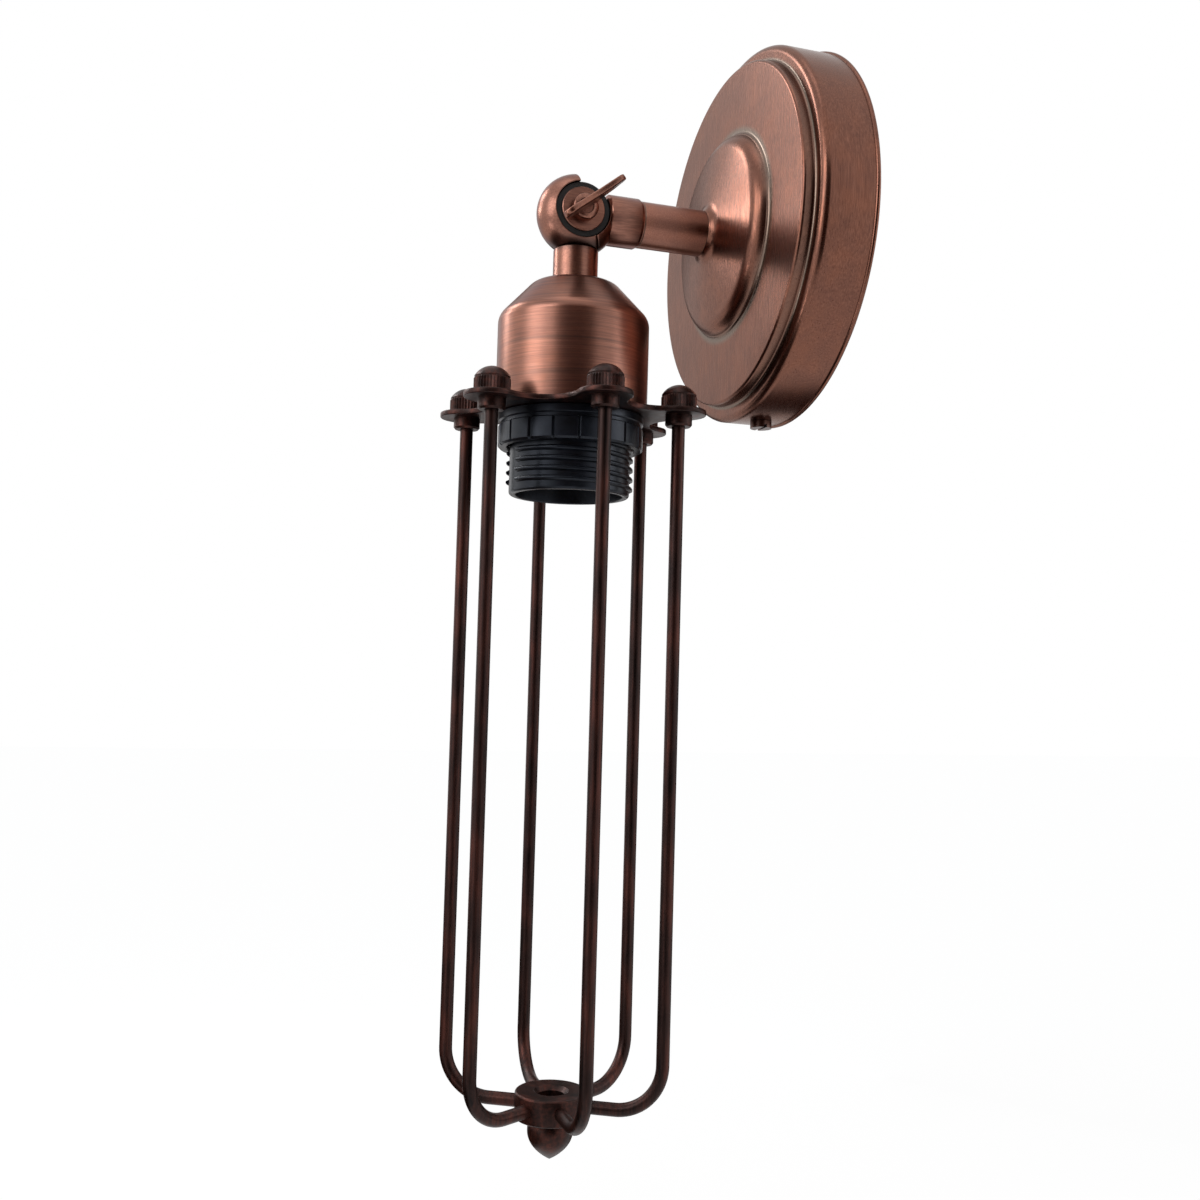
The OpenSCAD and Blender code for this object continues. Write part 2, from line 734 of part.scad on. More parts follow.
// Lamp screw shell: thin brass with a rounded thread, hung under the contact block
module screw_shell() {
    big = shell_d / 2;
    small = big - shell_thread;
    turns = floor((shell_len - 2) / shell_pitch);
    steps = [0, 0.2, 0.35, 0.65, 0.8];
    depth = [0, 0.25, 1, 1, 0.25];
    wave = [for (i = [0 : turns - 1]) for (k = [0 : 4])
        [big - depth[k] * (big - small), block_foot - 1.5 - (i + steps[k]) * shell_pitch]];
    inside = concat([[big, block_foot - contact_sheet]], wave, [[big, block_foot - shell_len]]);
    outside = [for (i = [len(inside) - 1 : -1 : 0]) inside[i] + [0.4, 0]];
    color(brass) on_head() {
        rotate_extrude() polygon(concat(inside, outside));
        tube_between(big + 0.4, 7, block_foot - contact_sheet, block_foot);
    }
}

module centre_contact() {
    color(brass) on_head() rotate([90, 0, 0]) translate([0, block_foot, -2.5]) linear_extrude(5)
        polygon([
            [-6, 0], [-6, -contact_sheet], [-3.4, -contact_sheet], [1, -4], [3, -4.2], [3, -3.7],
            [1.2, -3.4], [-3.1, 0]]);
}

module side_contact() {
    r = shell_d / 2 + 0.5;
    color(brass) on_head() translate([r, -2.5, block_foot - 10]) cube([contact_sheet, 5, 10]);
}

module holder_terminals() {
    color(brass) on_head() for (side = [-1, 1])
        translate([side * terminal_x, 0, 0]) difference() {
            translate([-3, -3, block_top]) cube([6, 6, terminal_top - block_top]);
            rod_between(lead_d / 2 + 0.2, block_top + 1, terminal_top + 1);
            translate([0, 0, block_top + 2.4]) rotate([90, 0, 0]) rod_between(1.2 + fit, 0, 4);
        }
}

module holder_terminal_screws() {
    color(steel) on_head() for (side = [-1, 1])
        translate([side * terminal_x, 0, block_top + 2.4]) rotate([90, 0, 0])
            translate([0, 0, lead_d / 2 + 0.1]) {
                cylinder(r = 1.2, h = 2);
                translate([0, 0, 1.9]) slotted_head(3.6, 1.8);
            }
}

// A lead's head part: from the knuckle down the neck and out to its terminal
module head_lead(side) {
    start = -lead_turn_r + 0.1;
    lead(concat([[side * lead_x, -arm_reach + lead_off, start]],
        smooth_line([
            [side * lead_x, -arm_reach + lead_off, nipple_top],
            [side * lead_x, -arm_reach + lead_off, nipple_foot + 3],
            [side * (lead_x + 0.1), -arm_reach + lead_off, nipple_foot],
            [side * (lead_x + 1), -arm_reach + lead_off - 0.4, cap_top - 3.4],
            [side * 6, -arm_reach + 0.9, (cap_top + terminal_top) / 2 - 1.4],
            [side * (terminal_x - 0.4), -arm_reach + 0.1, terminal_top + 2],
            [side * terminal_x, -arm_reach, terminal_top],
            [side * terminal_x, -arm_reach, block_top + 1.6]], 3)));
}

module lead_live_head() {
    color(brown) head_lead(-1);
}

module lead_neutral_head() {
    color(blue) head_lead(1);
}

// Cage collar: a flat plate with a rounded lobe for each rod and a hollow between each two
module cage_collar() {
    step = 180 / rod_count;
    color(bronze) on_head() translate([0, 0, plate_under]) linear_extrude(plate_t) difference() {
        union() {
            polygon([for (i = [0 : 2 * rod_count - 1])
                (i % 2 == 0 ? lobe_at_r : scallop_at_r) * [cos(i * step), sin(i * step)]]);
            round_cage() translate([lobe_at_r, 0]) circle(lobe_r);
        }
        rotate([0, 0, step]) round_cage() translate([scallop_at_r, 0]) circle(scallop_cut_r);
        circle(skirt_d / 2 + 0.4);
        round_cage() translate([rod_circle_r, 0]) circle(rod_d / 2 + fit);
    }
}

// One rod: straight down, round a bend, and in to the hub
module cage_rod(i) {
    color(bronze) on_head() rotate([0, 0, (i - 1) * 360 / rod_count]) {
        translate([rod_circle_r, 0, 0]) rod_between(rod_d / 2, run_z + rod_bend_r, rod_top);
        translate([rod_circle_r - rod_bend_r, 0, run_z + rod_bend_r])
            rotate([90, 0, 0]) rotate([0, 0, -90]) rotate_extrude(angle = 90)
                translate([rod_bend_r, 0]) circle(rod_d / 2);
        translate([rod_inner_r, 0, run_z]) rotate([0, 90, 0])
            cylinder(d = rod_d, h = rod_circle_r - rod_bend_r - rod_inner_r);
    }
}

module dome_nuts() {
    dome_arc_r = (pow(nut_d / 2, 2) + pow(nut_dome_h, 2)) / (2 * nut_dome_h);
    color(bronze) on_head() round_cage() translate([rod_circle_r, 0, cup_bottom]) difference() {
        rotate_extrude() {
            square([nut_d / 2, nut_band_h]);
            intersection() {
                translate([0, nut_band_h + nut_dome_h - dome_arc_r]) circle(dome_arc_r);
                square([nut_d / 2, nut_band_h + nut_dome_h]);
            }
        }
        rod_between(rod_d / 2 + fit, -1, rod_top - cup_bottom + 0.3);
    }
}

module ferrules() {
    color(bronze) on_head() round_cage() translate([rod_circle_r, 0, plate_under - ferrule_h])
        rotate_extrude() polygon([
            [rod_d / 2 + fit, 0], [ferrule_d / 2 - 0.5, 0], [ferrule_d / 2, 0.6],
            [ferrule_d / 2, ferrule_h], [rod_d / 2 + fit, ferrule_h]]);
}

module cage_hub() {
    bore = hub_bore / 2 + fit;
    edge = 0.7;
    color(bronze) on_head() difference() {
        translate([0, 0, hub_foot]) rotate_extrude() polygon([
            [bore, 0], [hub_d / 2 - edge, 0], [hub_d / 2, edge], [hub_d / 2, hub_h - edge],
            [hub_d / 2 - edge, hub_h], [bore + 1.3, hub_h], [bore, hub_h - 1.3]]);
        round_cage() translate([rod_inner_r - 0.1, 0, run_z]) rotate([0, 90, 0])
            cylinder(r = rod_d / 2 + fit, h = hub_d);
    }
}

// Finial: a pointed dome under the hub, with a stud up into the hub's bore
module cage_finial() {
    rim = 1.2;
    color(bronze) on_head() translate([0, 0, hub_foot]) {
        rotate_extrude() {
            translate([0, -rim]) square([finial_d / 2, rim]);
            intersection() {
                translate([finial_d / 2 - finial_arc_r, -rim]) circle(finial_arc_r, $fn = 180);
                translate([0, -finial_h]) square([finial_d / 2, finial_h - rim + 0.1]);
            }
        }
        rod_between(hub_bore / 2, -0.1, 3);
    }
}

// Wing screw: clamps the friction ring, and locks the tilt
module wing_screw() {
    tip_r = 2.6;
    middle_dip = 0.8;
    tip = [wing_span - tip_r, wing_rise - tip_r];
    color(copper) on_pivot() {
        rod_between(wing_thread_d / 2, -knuckle_half, wing_x0 + 0.1);
        rod_between(wing_hub_r, wing_x0, wing_x0 + wing_hub_h);
        rotate([90, 0, wing_turn]) translate([0, wing_x0, -wing_t / 2]) linear_extrude(wing_t) {
            for (side = [0, 1]) mirror([side, 0]) {
                translate(tip) circle(tip_r);
                polygon([
                    [-0.1, wing_hub_h - 1.6], [wing_hub_r - 0.3, wing_hub_h - 1.6],
                    tip + tip_r * [cos(-40), sin(-40)], tip, tip + tip_r * [cos(85), sin(85)],
                    [-0.1, wing_rise - middle_dip]]);
            }
        }
    }
}

// Shade ring: a flange, a groove, and a grip body with upright grooves
module shade_ring() {
    r = ring_d / 2;
    flange = 2.6;
    groove = 1.1;
    color(black) on_head() difference() {
        tube_between(r, skirt_d / 2 + fit, ring_foot, plate_under);
        tube_between(r + 1, r - 0.5, plate_under - flange - groove, plate_under - flange);
        for (i = [0 : ring_grips - 1])
            rotate([0, 0, (i + 0.5) * 360 / ring_grips]) translate([r + 0.2, 0, 0])
                rod_between(0.7, ring_foot - 1, plate_under - flange - groove / 2);
    }
}

wall_bracket();
wall_rose();
rose_side_screws();
terminal_block();
terminal_screws();
terminal_block_screw();
earth_screw();
earth_lead();
arm_nipple();
arm_washer();
arm_locknut();
arm_tube();
knuckle_arm();
friction_ring();
clamp_washer();
lead_live_arm();
lead_neutral_arm();
knuckle_head();
head_nipple();
cup_washer();
cup_locknut();
lampholder_cup();
holder_cap();
holder_skirt();
contact_block();
screw_shell();
centre_contact();
side_contact();
holder_terminals();
holder_terminal_screws();
lead_live_head();
lead_neutral_head();
cage_collar();
cage_rod(1);  // cage_rod_1
cage_rod(2);  // cage_rod_2
cage_rod(3);  // cage_rod_3
cage_rod(4);  // cage_rod_4
cage_rod(5);  // cage_rod_5
cage_rod(6);  // cage_rod_6
dome_nuts();
ferrules();
cage_hub();
cage_finial();
wing_screw();
shade_ring();
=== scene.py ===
from math import atan2, cos, degrees, pi, radians, sin, sqrt, tan

import bmesh
import bpy
from mathutils import Matrix, Vector


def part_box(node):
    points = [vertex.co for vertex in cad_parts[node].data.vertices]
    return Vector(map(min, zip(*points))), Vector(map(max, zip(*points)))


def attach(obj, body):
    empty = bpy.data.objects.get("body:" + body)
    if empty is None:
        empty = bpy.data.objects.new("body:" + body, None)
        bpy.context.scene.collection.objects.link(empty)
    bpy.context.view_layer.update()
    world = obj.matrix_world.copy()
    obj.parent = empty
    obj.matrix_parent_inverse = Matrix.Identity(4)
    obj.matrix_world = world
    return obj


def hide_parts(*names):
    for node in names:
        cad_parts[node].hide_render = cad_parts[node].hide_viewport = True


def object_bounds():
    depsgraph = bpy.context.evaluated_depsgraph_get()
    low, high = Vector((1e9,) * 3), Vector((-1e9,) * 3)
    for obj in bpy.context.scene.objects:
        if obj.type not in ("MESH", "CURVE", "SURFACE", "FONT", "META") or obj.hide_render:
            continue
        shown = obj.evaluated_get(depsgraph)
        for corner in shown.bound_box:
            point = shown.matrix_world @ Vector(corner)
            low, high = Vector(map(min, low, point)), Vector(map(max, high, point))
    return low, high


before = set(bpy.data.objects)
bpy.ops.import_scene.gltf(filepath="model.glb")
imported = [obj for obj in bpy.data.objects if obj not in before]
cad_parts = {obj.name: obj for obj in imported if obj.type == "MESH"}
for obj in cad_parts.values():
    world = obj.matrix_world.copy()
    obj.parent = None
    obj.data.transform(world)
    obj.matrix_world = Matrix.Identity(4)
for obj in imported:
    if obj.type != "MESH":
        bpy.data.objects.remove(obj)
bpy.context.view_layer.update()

# ---- Camera -----------------------------------------------------------------------------------
# The light is seen from its wing screw's side, from below the arm, a little out from the wall.
# The distance and the turns come from the ellipses and slopes of the rose, the cup and the rods.
MM = 0.001
PIVOT = Vector((0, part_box("cage_hub")[0].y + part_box("cage_hub")[1].y, 0)) / 2
CAMERA_SIDE, CAMERA_OUT, CAMERA_DROP = radians(73.45), 398.2, 143.0
HEADING, RISE, ROLL = CAMERA_SIDE - radians(1.52), radians(3.30), radians(1.60)
SENSOR_W, LENS, NEAR_CLIP = 36, 38.89, 0.01

to_camera = Vector((CAMERA_OUT * sin(CAMERA_SIDE), -CAMERA_OUT * cos(CAMERA_SIDE), -CAMERA_DROP))
eye = PIVOT + to_camera * MM
ahead = Vector((-sin(HEADING) * cos(RISE), cos(HEADING) * cos(RISE), sin(RISE)))
right = Vector((cos(HEADING), sin(HEADING), 0))
up = right.cross(ahead)
rolled_right = right * cos(ROLL) + up * sin(ROLL)
rolled_up = up * cos(ROLL) - right * sin(ROLL)
camera = bpy.data.objects.new("camera", bpy.data.cameras.new("camera"))
camera.data.sensor_width = SENSOR_W
camera.data.lens = LENS
camera.data.clip_start = NEAR_CLIP
camera.matrix_world = Matrix((
    (rolled_right.x, rolled_up.x, -ahead.x, eye.x),
    (rolled_right.y, rolled_up.y, -ahead.y, eye.y),
    (rolled_right.z, rolled_up.z, -ahead.z, eye.z),
    (0, 0, 0, 1)))
bpy.context.scene.collection.objects.link(camera)
bpy.context.scene.camera = camera
bpy.context.scene.view_settings.view_transform = "Standard"


# ---- Studio -----------------------------------------------------------------------------------
# A white room: the world and the floor read as plain white to the camera and in reflections. Soft
# lamps give the brushed metal its bands of light, and dark backdrops give it the bands between.
# Distances in the studio are in metres; the light's own sizes, further down, are in millimetres.
FLOOR_DROP, FLOOR_HALF = 0.25, 6
LAMPS_AIM = Vector((0, -0.05, -0.06))


def linear(hex_colour):
    """An sRGB hex colour as linear red, green, blue and a full alpha."""
    parts = [int(hex_colour[i:i + 2], 16) / 255 for i in (1, 3, 5)]
    return [c / 12.92 if c <= 0.04045 else ((c + 0.055) / 1.055) ** 2.4 for c in parts] + [1]


def add(tree, kind, inputs=None, stops=(), **settings):
    """Adds a node with its settings, sets or links its inputs, and gives a ramp its colour stops."""
    made = tree.nodes.new(kind)
    for name, value in settings.items():
        setattr(made, name, value)
    for name, value in (inputs or {}).items():
        if isinstance(value, bpy.types.NodeSocket):
            tree.links.new(value, made.inputs[name])
        else:
            made.inputs[name].default_value = value
    if stops:
        points = made.color_ramp.elements
        while len(points) < len(stops):
            points.new(0.5)
        for point, (place, colour) in zip(points, stops):
            point.position = place
            point.color = linear(colour)
    return made


def empty_material(name):
    """A material with no nodes yet, and its tree."""
    made = bpy.data.materials.new(name)
    made.use_nodes = True
    made.node_tree.nodes.clear()
    return made, made.node_tree


def seen_directly(tree):
    """1 for rays from the camera, off shiny surfaces and through clear ones."""
    path = add(tree, "ShaderNodeLightPath")
    either = add(tree, "ShaderNodeMath", {0: path.outputs["Is Camera Ray"],
                 1: path.outputs["Is Glossy Ray"]}, operation="MAXIMUM")
    return add(tree, "ShaderNodeMath", {0: either.outputs[0],
               1: path.outputs["Is Transmission Ray"]}, operation="MAXIMUM").outputs[0]


world = bpy.data.worlds.new("studio")
world.use_nodes = True
world.node_tree.nodes.clear()
bpy.context.scene.world = world
room_light = add(world.node_tree, "ShaderNodeBackground", {"Color": linear("#dfe3e8"), "Strength": 0.55})
white_wall = add(world.node_tree, "ShaderNodeBackground", {"Color": linear("#ffffff"), "Strength": 1.0})
room = add(world.node_tree, "ShaderNodeMixShader", {0: seen_directly(world.node_tree),
           1: room_light.outputs[0], 2: white_wall.outputs[0]})
add(world.node_tree, "ShaderNodeOutputWorld", {"Surface": room.outputs[0]})

# Matt white paper that glows a little, so that it reads as white and still takes the shadow.
floor_paper, tree = empty_material("white_floor")
matt = add(tree, "ShaderNodeBsdfDiffuse", {"Color": linear("#f4f4f2")})
glow = add(tree, "ShaderNodeEmission", {"Color": linear("#ffffff"), "Strength": 1.06})
shaded = add(tree, "ShaderNodeMixShader", {0: 0.9, 1: matt.outputs[0], 2: glow.outputs[0]})
paper = add(tree, "ShaderNodeMixShader", {0: seen_directly(tree), 1: matt.outputs[0],
            2: shaded.outputs[0]})
add(tree, "ShaderNodeOutputMaterial", {"Surface": paper.outputs[0]})


def flat_sheet(name, place, half_width, half_height, material):
    """A flat sheet of the studio, which isn't part of the light."""
    sheet = bmesh.new()
    bmesh.ops.create_grid(sheet, x_segments=1, y_segments=1, size=1,
                          matrix=place @ Matrix.Diagonal((half_width, half_height, 1, 1)))
    mesh = bpy.data.meshes.new(name)
    sheet.to_mesh(mesh)
    sheet.free()
    mesh.materials.append(material)
    made = bpy.data.objects.new(name, mesh)
    bpy.context.scene.collection.objects.link(made)
    return made


floor = flat_sheet("floor", Matrix.Translation((0, 0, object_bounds()[0].z - FLOOR_DROP)), FLOOR_HALF,
                   FLOOR_HALF, floor_paper)

for name, place, width, height, watts in (
        ("front_lamp", (0.3, -1.15, 0.35), 0.5, 0.7, 3.8),
        ("left_lamp", (-0.76, -0.79, 0.36), 0.26, 0.16, 1.7),
        ("high_left_lamp", (-0.66, -0.62, 0.62), 0.3, 0.24, 2.2),
        ("right_lamp", (0.5, 0.85, 0.2), 0.3, 0.6, 1.2),
        ("top_lamp", (0.1, -0.35, 1.2), 0.7, 0.5, 0.9),
        ("low_front_lamp", (0.02, -0.95, -0.38), 0.16, 0.2, 0.45),
        ("front_right_lamp", (0.62, -0.85, 0.46), 0.14, 0.3, 0.8)):
    soft_box = bpy.data.lights.new(name, "AREA")
    soft_box.shape = "RECTANGLE"
    soft_box.size, soft_box.size_y, soft_box.energy = width, height, watts
    lamp = bpy.data.objects.new(name, soft_box)
    lamp.location = place
    lamp.rotation_euler = (LAMPS_AIM - Vector(place)).to_track_quat("-Z", "Z").to_euler()
    bpy.context.scene.collection.objects.link(lamp)

# Brown felt: dull and dark, so that it only shows as the copper's deep red-brown bands.
felt, tree = empty_material("brown_felt_backdrop")
nap = add(tree, "ShaderNodeBsdfDiffuse", {"Color": linear("#553429")})
add(tree, "ShaderNodeOutputMaterial", {"Surface": nap.outputs[0]})

# Each backdrop's side is its turn round from straight out of the wall; its dip is how far it is
# turned down below the arm.
for name, side, dip, distance, width, height in (
        ("backdrop_behind_camera", CAMERA_SIDE, radians(2), 0.95, 1.1, 1.2),
        ("backdrop_by_wall", radians(215), radians(10), 0.95, 0.7, 1.5),
        ("backdrop_under_arm", radians(-25), radians(48), 0.5, 0.6, 0.35),
        ("backdrop_far_left", radians(-97), radians(-8), 0.95, 0.46, 0.8),
        ("backdrop_low_by_wall", radians(-116), radians(52), 0.6, 0.5, 0.4)):
    place = Matrix.Rotation(side, 4, "Z") @ Matrix.Rotation(dip, 4, "X") @ \
        Matrix.Translation((0, -distance, 0)) @ Matrix.Rotation(pi / 2, 4, "X")
    made = flat_sheet(name, place, width / 2, height / 2, felt)
    made.visible_camera = False
    made.visible_shadow = False


# ---- Wall bracket -----------------------------------------------------------------------------
# A strap of zinc-plated strip, screwed to the wall behind the rose. It is a stock part, so its
# solid stays as it is and only takes its finish, like the other stock parts.
def grain(tree, across_mm, detail=2.0):
    """Noise on the object's own coordinates; across_mm is the size of a speck along X, Y and Z."""
    place = add(tree, "ShaderNodeTexCoord").outputs["Object"]
    scaled = add(tree, "ShaderNodeMapping", {"Vector": place,
                 "Scale": [1 / (size * MM) for size in across_mm]})
    return add(tree, "ShaderNodeTexNoise", {"Vector": scaled.outputs[0], "Scale": 1.0,
               "Detail": detail, "Roughness": 0.6}).outputs["Fac"]


def stock_finish(name, dark, pale, metallic, roughness, speck_mm, bump_mm):
    """A plain stock finish: two close colours in specks, a varied gloss and a faint bump."""
    made, tree = empty_material(name)
    specks = grain(tree, speck_mm)
    colour = add(tree, "ShaderNodeValToRGB", {"Fac": specks}, stops=[(0.3, dark), (0.7, pale)])
    gloss = add(tree, "ShaderNodeMapRange", {"Value": specks, "To Min": roughness[0],
                "To Max": roughness[1]})
    bumps = add(tree, "ShaderNodeBump", {"Height": specks, "Distance": bump_mm * MM})
    surface = add(tree, "ShaderNodeBsdfPrincipled", {
        "Base Color": colour.outputs["Color"], "Metallic": metallic,
        "Roughness": gloss.outputs["Result"], "Normal": bumps.outputs["Normal"]})
    add(tree, "ShaderNodeOutputMaterial", {"Surface": surface.outputs[0]})
    return made


def refinish(material, *nodes):
    """Gives CAD nodes a material in place of their plain one."""
    for node in nodes:
        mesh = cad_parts[node].data
        mesh.materials.clear()
        mesh.materials.append(material)


# Bright zinc on rolled strip: a cool grey that glints softly in long upright specks.
zinc = stock_finish("zinc_plated_steel", "#8f9291", "#b9bcb8", metallic=1.0, roughness=(0.28, 0.5),
                    speck_mm=(0.5, 0.5, 4), bump_mm=0.01)
refinish(zinc, "wall_bracket")


# ---- Terminal block and leads -----------------------------------------------------------------
# A nylon block with brass clamp screws, held on the strap by one steel screw, and the brass earth
# screw. PVC-insulated leads run from them, two up the arm and one to the strap.

# Bare brass: a warm yellow with an uneven gloss.
brass = stock_finish("bare_brass", "#9c7a3a", "#c9a55c", metallic=1.0, roughness=(0.22, 0.42),
                     speck_mm=(0.6, 0.6, 0.6), bump_mm=0.008)
# Moulded nylon: an off-white that stays soft in any light.
nylon = stock_finish("white_nylon_moulding", "#cfcdc4", "#dedcd3", metallic=0.0, roughness=(0.42, 0.55),
                     speck_mm=(1.5, 1.5, 1.5), bump_mm=0.02)
# Extruded PVC in the three wiring colours, with its even half-gloss.
brown_pvc = stock_finish("brown_pvc", "#5a3420", "#6d4128", metallic=0.0, roughness=(0.35, 0.5),
                         speck_mm=(1, 1, 1), bump_mm=0.01)
blue_pvc = stock_finish("blue_pvc", "#2b5fa0", "#3570b4", metallic=0.0, roughness=(0.35, 0.5),
                        speck_mm=(1, 1, 1), bump_mm=0.01)
green_pvc = stock_finish("green_pvc", "#5d8f2c", "#75a63a", metallic=0.0, roughness=(0.35, 0.5),
                         speck_mm=(1, 1, 1), bump_mm=0.01)
refinish(nylon, "terminal_block")
refinish(zinc, "terminal_block_screw")
refinish(brass, "terminal_screws", "earth_screw")
refinish(brown_pvc, "lead_live_arm", "lead_live_head")
refinish(blue_pvc, "lead_neutral_arm", "lead_neutral_head")
refinish(green_pvc, "earth_lead")


# ---- Wall rose --------------------------------------------------------------------------------
# A pressed and spun steel rose, copper plated, darkened to an antique finish and brushed back.
# The dark stays in the groove round the raised disc and at the dome's foot.
ROSE_R, BEAD_R, BEAD_TOP = 59.98, 0.75, 2.0
SKIRT_R, SKIRT_ROUND, SHOULDER = 59.4, 2.4, 18.2
DISC, DISC_R, DISC_ROUND, GROOVE_R, GROOVE_SUNK = 22.1, 54.2, 1.0, 0.9, 0.15
DOME_R, DOME_ROUND, DOME_MID, DOME_FOOT, DOME_FOOT_R = 32.0, 5.6, 21.2, 1.1, 1.2
CROWN_SLOPE, FLARE_R, SEAM = 9.0, 5.0, 31.41
SHEET, SHEET_ROUND, ROD_HOLE_R, SEAT, SEAT_R = 1.1, 0.6, 5.05, 28.2, 9.3
TUBE_R = 7.2

OUT = (Vector((0, 0, 0)), Vector((0, -1, 0)), Vector((1, 0, 0)))


def arc(centre, radius, start, end, steps):
    """Points of an arc in an outline; the angles are in degrees."""
    turn = [radians(start + (end - start) * i / steps) for i in range(steps + 1)]
    return [(centre[0] + radius * cos(a), centre[1] + radius * sin(a)) for a in turn]


def turned(outline, line, steps=128, angle=2 * pi, start=0.0, closed=True):
    """Spins an outline of (radius, distance) points in millimetres round a line, as on a lathe."""
    centre, axis, across = line
    first = Matrix.Rotation(start, 4, axis) @ across
    shape = bmesh.new()
    points = [shape.verts.new(centre + (first * r + axis * h) * MM) for r, h in outline]
    pairs = list(zip(points, points[1:])) + ([(points[-1], points[0])] if closed else [])
    lines = [shape.edges.new(pair) for pair in pairs]
    whole = angle >= 2 * pi - 1e-6
    bmesh.ops.spin(shape, geom=points + lines, cent=centre, axis=axis, angle=angle, steps=steps,
                   use_merge=whole)
    if not whole:
        bmesh.ops.contextual_create(shape, geom=[e for e in shape.edges if e.is_boundary])
        bmesh.ops.holes_fill(shape, edges=[e for e in shape.edges if e.is_boundary])
    bmesh.ops.remove_doubles(shape, verts=shape.verts, dist=1e-6)
    bmesh.ops.recalc_face_normals(shape, faces=shape.faces)
    return shape


def piece(name, shape, material, body, slot, *nodes, crease=32):
    """Makes the finished piece from its mesh: smooth but for creases, riding on its body."""
    mesh = bpy.data.meshes.new(name)
    shape.to_mesh(mesh)
    shape.free()
    mesh.polygons.foreach_set("use_smooth", [True] * len(mesh.polygons))
    mesh.set_sharp_from_angle(angle=radians(crease))
    mesh.materials.append(material)
    made = bpy.data.objects.new(name, mesh)
    bpy.context.scene.collection.objects.link(made)
    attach(made, body)
    if nodes:
        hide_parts(*nodes)
    return made


def near(tree, value, centre_mm, width_mm):
    """1 where a length is at the centre, falling to 0 a width away."""
    off = add(tree, "ShaderNodeMath", {0: value, 1: centre_mm * MM}, operation="SUBTRACT").outputs[0]
    off = add(tree, "ShaderNodeMath", {0: off}, operation="ABSOLUTE").outputs[0]
    made = add(tree, "ShaderNodeMapRange", {"Value": off, "From Min": 0.0, "From Max": width_mm * MM,
               "To Min": 1.0, "To Max": 0.0}, interpolation_type="SMOOTHSTEP")
    return made.outputs["Result"]


def strongest(tree, values):
    """The largest of several values."""
    out = values[0]
    for value in values[1:]:
        out = add(tree, "ShaderNodeMath", {0: out, 1: value}, operation="MAXIMUM").outputs[0]
    return out


def antique_copper(name, stroke_mm, dark_at, roughness=(0.25, 0.38), dark="#5f574c",
                   lacquer=0.8, tone=1.0, edge="#a08a7e"):
    """
    Copper plate under a thin lacquer: a red-brown metal, with brushed strokes of the given size over
    soft clouds, and a darker tone where dark_at says.
    """
    made, tree = empty_material(name)
    strokes = grain(tree, stroke_mm, 3.0)
    clouds = grain(tree, (9, 9, 9))
    body = add(tree, "ShaderNodeValToRGB", {"Fac": clouds},
               stops=[(0.3, "#74483a"), (0.5, "#81503f"), (0.72, "#905740")])
    drawn = add(tree, "ShaderNodeValToRGB", {"Fac": strokes},
                stops=[(0.28, "#58342a"), (0.5, "#825341"), (0.74, "#a9745f")])
    mixed = add(tree, "ShaderNodeMix", {"Factor": 0.5, 6: body.outputs["Color"],
                7: drawn.outputs["Color"]}, data_type="RGBA")
    colour = add(tree, "ShaderNodeVectorMath", {0: mixed.outputs[2], "Scale": tone},
                 operation="SCALE").outputs[0]
    if dark_at:
        kept = add(tree, "ShaderNodeMapRange", {"Value": strokes, "To Min": 0.62, "To Max": 1.15})
        where = add(tree, "ShaderNodeMath", {0: dark_at(tree), 1: kept.outputs["Result"]},
                    operation="MULTIPLY", use_clamp=True)
        colour = add(tree, "ShaderNodeMix", {"Factor": where.outputs[0], 6: colour, 7: linear(dark)},
                     data_type="RGBA").outputs[2]
    gloss = add(tree, "ShaderNodeMapRange", {"Value": strokes, "To Min": roughness[1],
                "To Max": roughness[0]})
    scratches = add(tree, "ShaderNodeBump", {"Height": strokes, "Distance": 0.012 * MM})
    surface = add(tree, "ShaderNodeBsdfPrincipled", {
        "Base Color": colour, "Metallic": 1.0, "Specular Tint": linear(edge),
        "Roughness": gloss.outputs["Result"], "Normal": scratches.outputs["Normal"],
        "Coat Weight": lacquer, "Coat Roughness": 0.3})
    add(tree, "ShaderNodeOutputMaterial", {"Surface": surface.outputs[0]})
    return made


def distance_from(tree, keep):
    """Distance from a line through the origin; keep has a 0 for the line's own direction."""
    place = add(tree, "ShaderNodeTexCoord").outputs["Object"]
    flat = add(tree, "ShaderNodeVectorMath", {0: place, 1: keep}, operation="MULTIPLY").outputs[0]
    return add(tree, "ShaderNodeVectorMath", {0: flat}, operation="LENGTH").outputs["Value"]


def crown(r, round_r):
    """Height of the dome's sloping crown at a radius."""
    slope = radians(CROWN_SLOPE)
    return DOME_MID + round_r / cos(slope) + (DOME_R - DOME_ROUND - r) * tan(slope)


